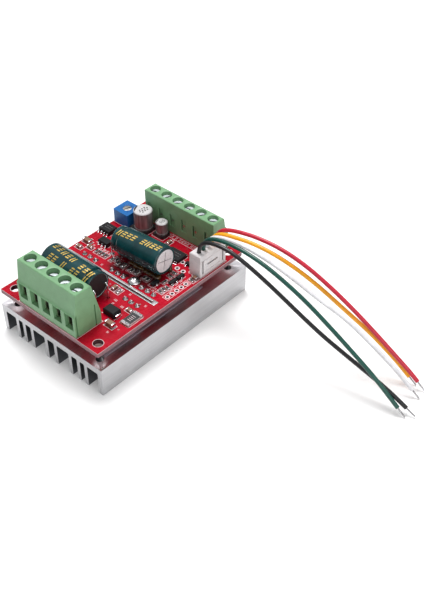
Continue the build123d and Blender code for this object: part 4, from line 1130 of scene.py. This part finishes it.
# Glue -------------------------------------------------------------------------------------------
def make_glue():
    """Runs of dark amber glue that hold the lying capacitors to the board."""
    rng = random.Random(8)
    bm = bmesh.new()
    runs = (
        # which can, side of its axis, first and last x, distance from the axis, height
        (1, -1, 21.0, 32.4, 2.3, 1.5),
        (1, 1, 26.0, 33.0, 2.9, 3.0),
        (0, 1, 8.0, 20.0, 2.7, 1.3),
    )
    for which, side, first, last, distance, height in runs:
        count = int((last - first) / 0.7)
        for k in range(count + 1):
            x = first + (last - first) * k / count
            axis = round_can(which, x, 0, 0).y
            size = Vector((0.9, 1.1, height * 0.5)) * rng.uniform(0.6, 1.15)
            middle = on_board(x, axis + side * distance * rng.uniform(0.9, 1.1), height * 0.3)
            matrix = Matrix.Translation(middle) @ Matrix.Diagonal((size * MM).to_4d())
            bmesh.ops.create_icosphere(bm, subdivisions=3, radius=1.0, matrix=matrix)
    glue = mesh_piece("capacitor_glue", bm, "glue")
    merge = glue.modifiers.new("merge", "REMESH")
    merge.mode = "VOXEL"
    merge.voxel_size = 0.16 * MM
    merge.use_smooth_shade = True
    relax = glue.modifiers.new("relax", "SMOOTH")
    relax.iterations = 6


make_glue()


# Floor and lights -------------------------------------------------------------------------------
# Brightness of the sky at these heights, 0 at the horizon and 1 overhead.
SKY = ((0.0, 0.14), (0.35, 0.3), (0.6, 1.1), (0.72, 1.1), (1.0, 0.7))
SKY_STRENGTH = 0.6


def make_floor():
    """A wide sheet of pale paper under the module."""
    bm = bmesh.new()
    bmesh.ops.create_grid(bm, x_segments=1, y_segments=1, size=3.0)
    mesh = bpy.data.meshes.new("floor")
    bm.to_mesh(mesh)
    bm.free()
    floor = bpy.data.objects.new("floor", mesh)
    finish = Finish(
        "floor_paper", Roughness=0.9, Specular_IOR_Level=0.1, Base_Color=(0.85, 0.85, 0.85, 1),
        Emission_Color=(1, 1, 1, 1), Emission_Strength=0.16,
    )
    mesh.materials.append(finish.material)
    bpy.context.scene.collection.objects.link(floor)


def area_light(name, location, size, power):
    """A softbox aimed at the middle of the board."""
    data = bpy.data.lights.new(name, "AREA")
    data.shape = "RECTANGLE"
    data.size, data.size_y = size
    data.energy = power
    light = bpy.data.objects.new(name, data)
    light.location = location
    aim = on_board(BOARD_WIDTH / 2, BOARD_LENGTH / 2) - Vector(location)
    light.rotation_euler = aim.to_track_quat("-Z", "Y").to_euler()
    bpy.context.scene.collection.objects.link(light)


def make_world():
    """A soft studio: bright overhead and dim at the horizon."""
    world = bpy.data.worlds.new("studio")
    world.use_nodes = True
    tree = world.node_tree
    background = tree.nodes["Background"]
    coordinates = tree.nodes.new("ShaderNodeTexCoord")
    parts = tree.nodes.new("ShaderNodeSeparateXYZ")
    ramp = tree.nodes.new("ShaderNodeValToRGB")
    for element, (height, level) in zip(ramp.color_ramp.elements, (SKY[0], SKY[-1])):
        element.position = height
        element.color = (level, level, level * 1.01, 1)
    for height, level in SKY[1:-1]:
        ramp.color_ramp.elements.new(height).color = (level, level, level * 1.01, 1)
    tree.links.new(coordinates.outputs["Generated"], parts.inputs[0])
    tree.links.new(parts.outputs[2], ramp.inputs[0])
    tree.links.new(ramp.outputs[0], background.inputs[0])
    background.inputs[1].default_value = SKY_STRENGTH
    bpy.context.scene.world = world


make_floor()
make_world()
area_light("key", (-0.13, 0.1, 0.56), (0.24, 0.24), 3.1)
area_light("fill", (0.4, -0.16, 0.2), (0.35, 0.25), 0.55)
bpy.context.scene.view_settings.view_transform = "Standard"
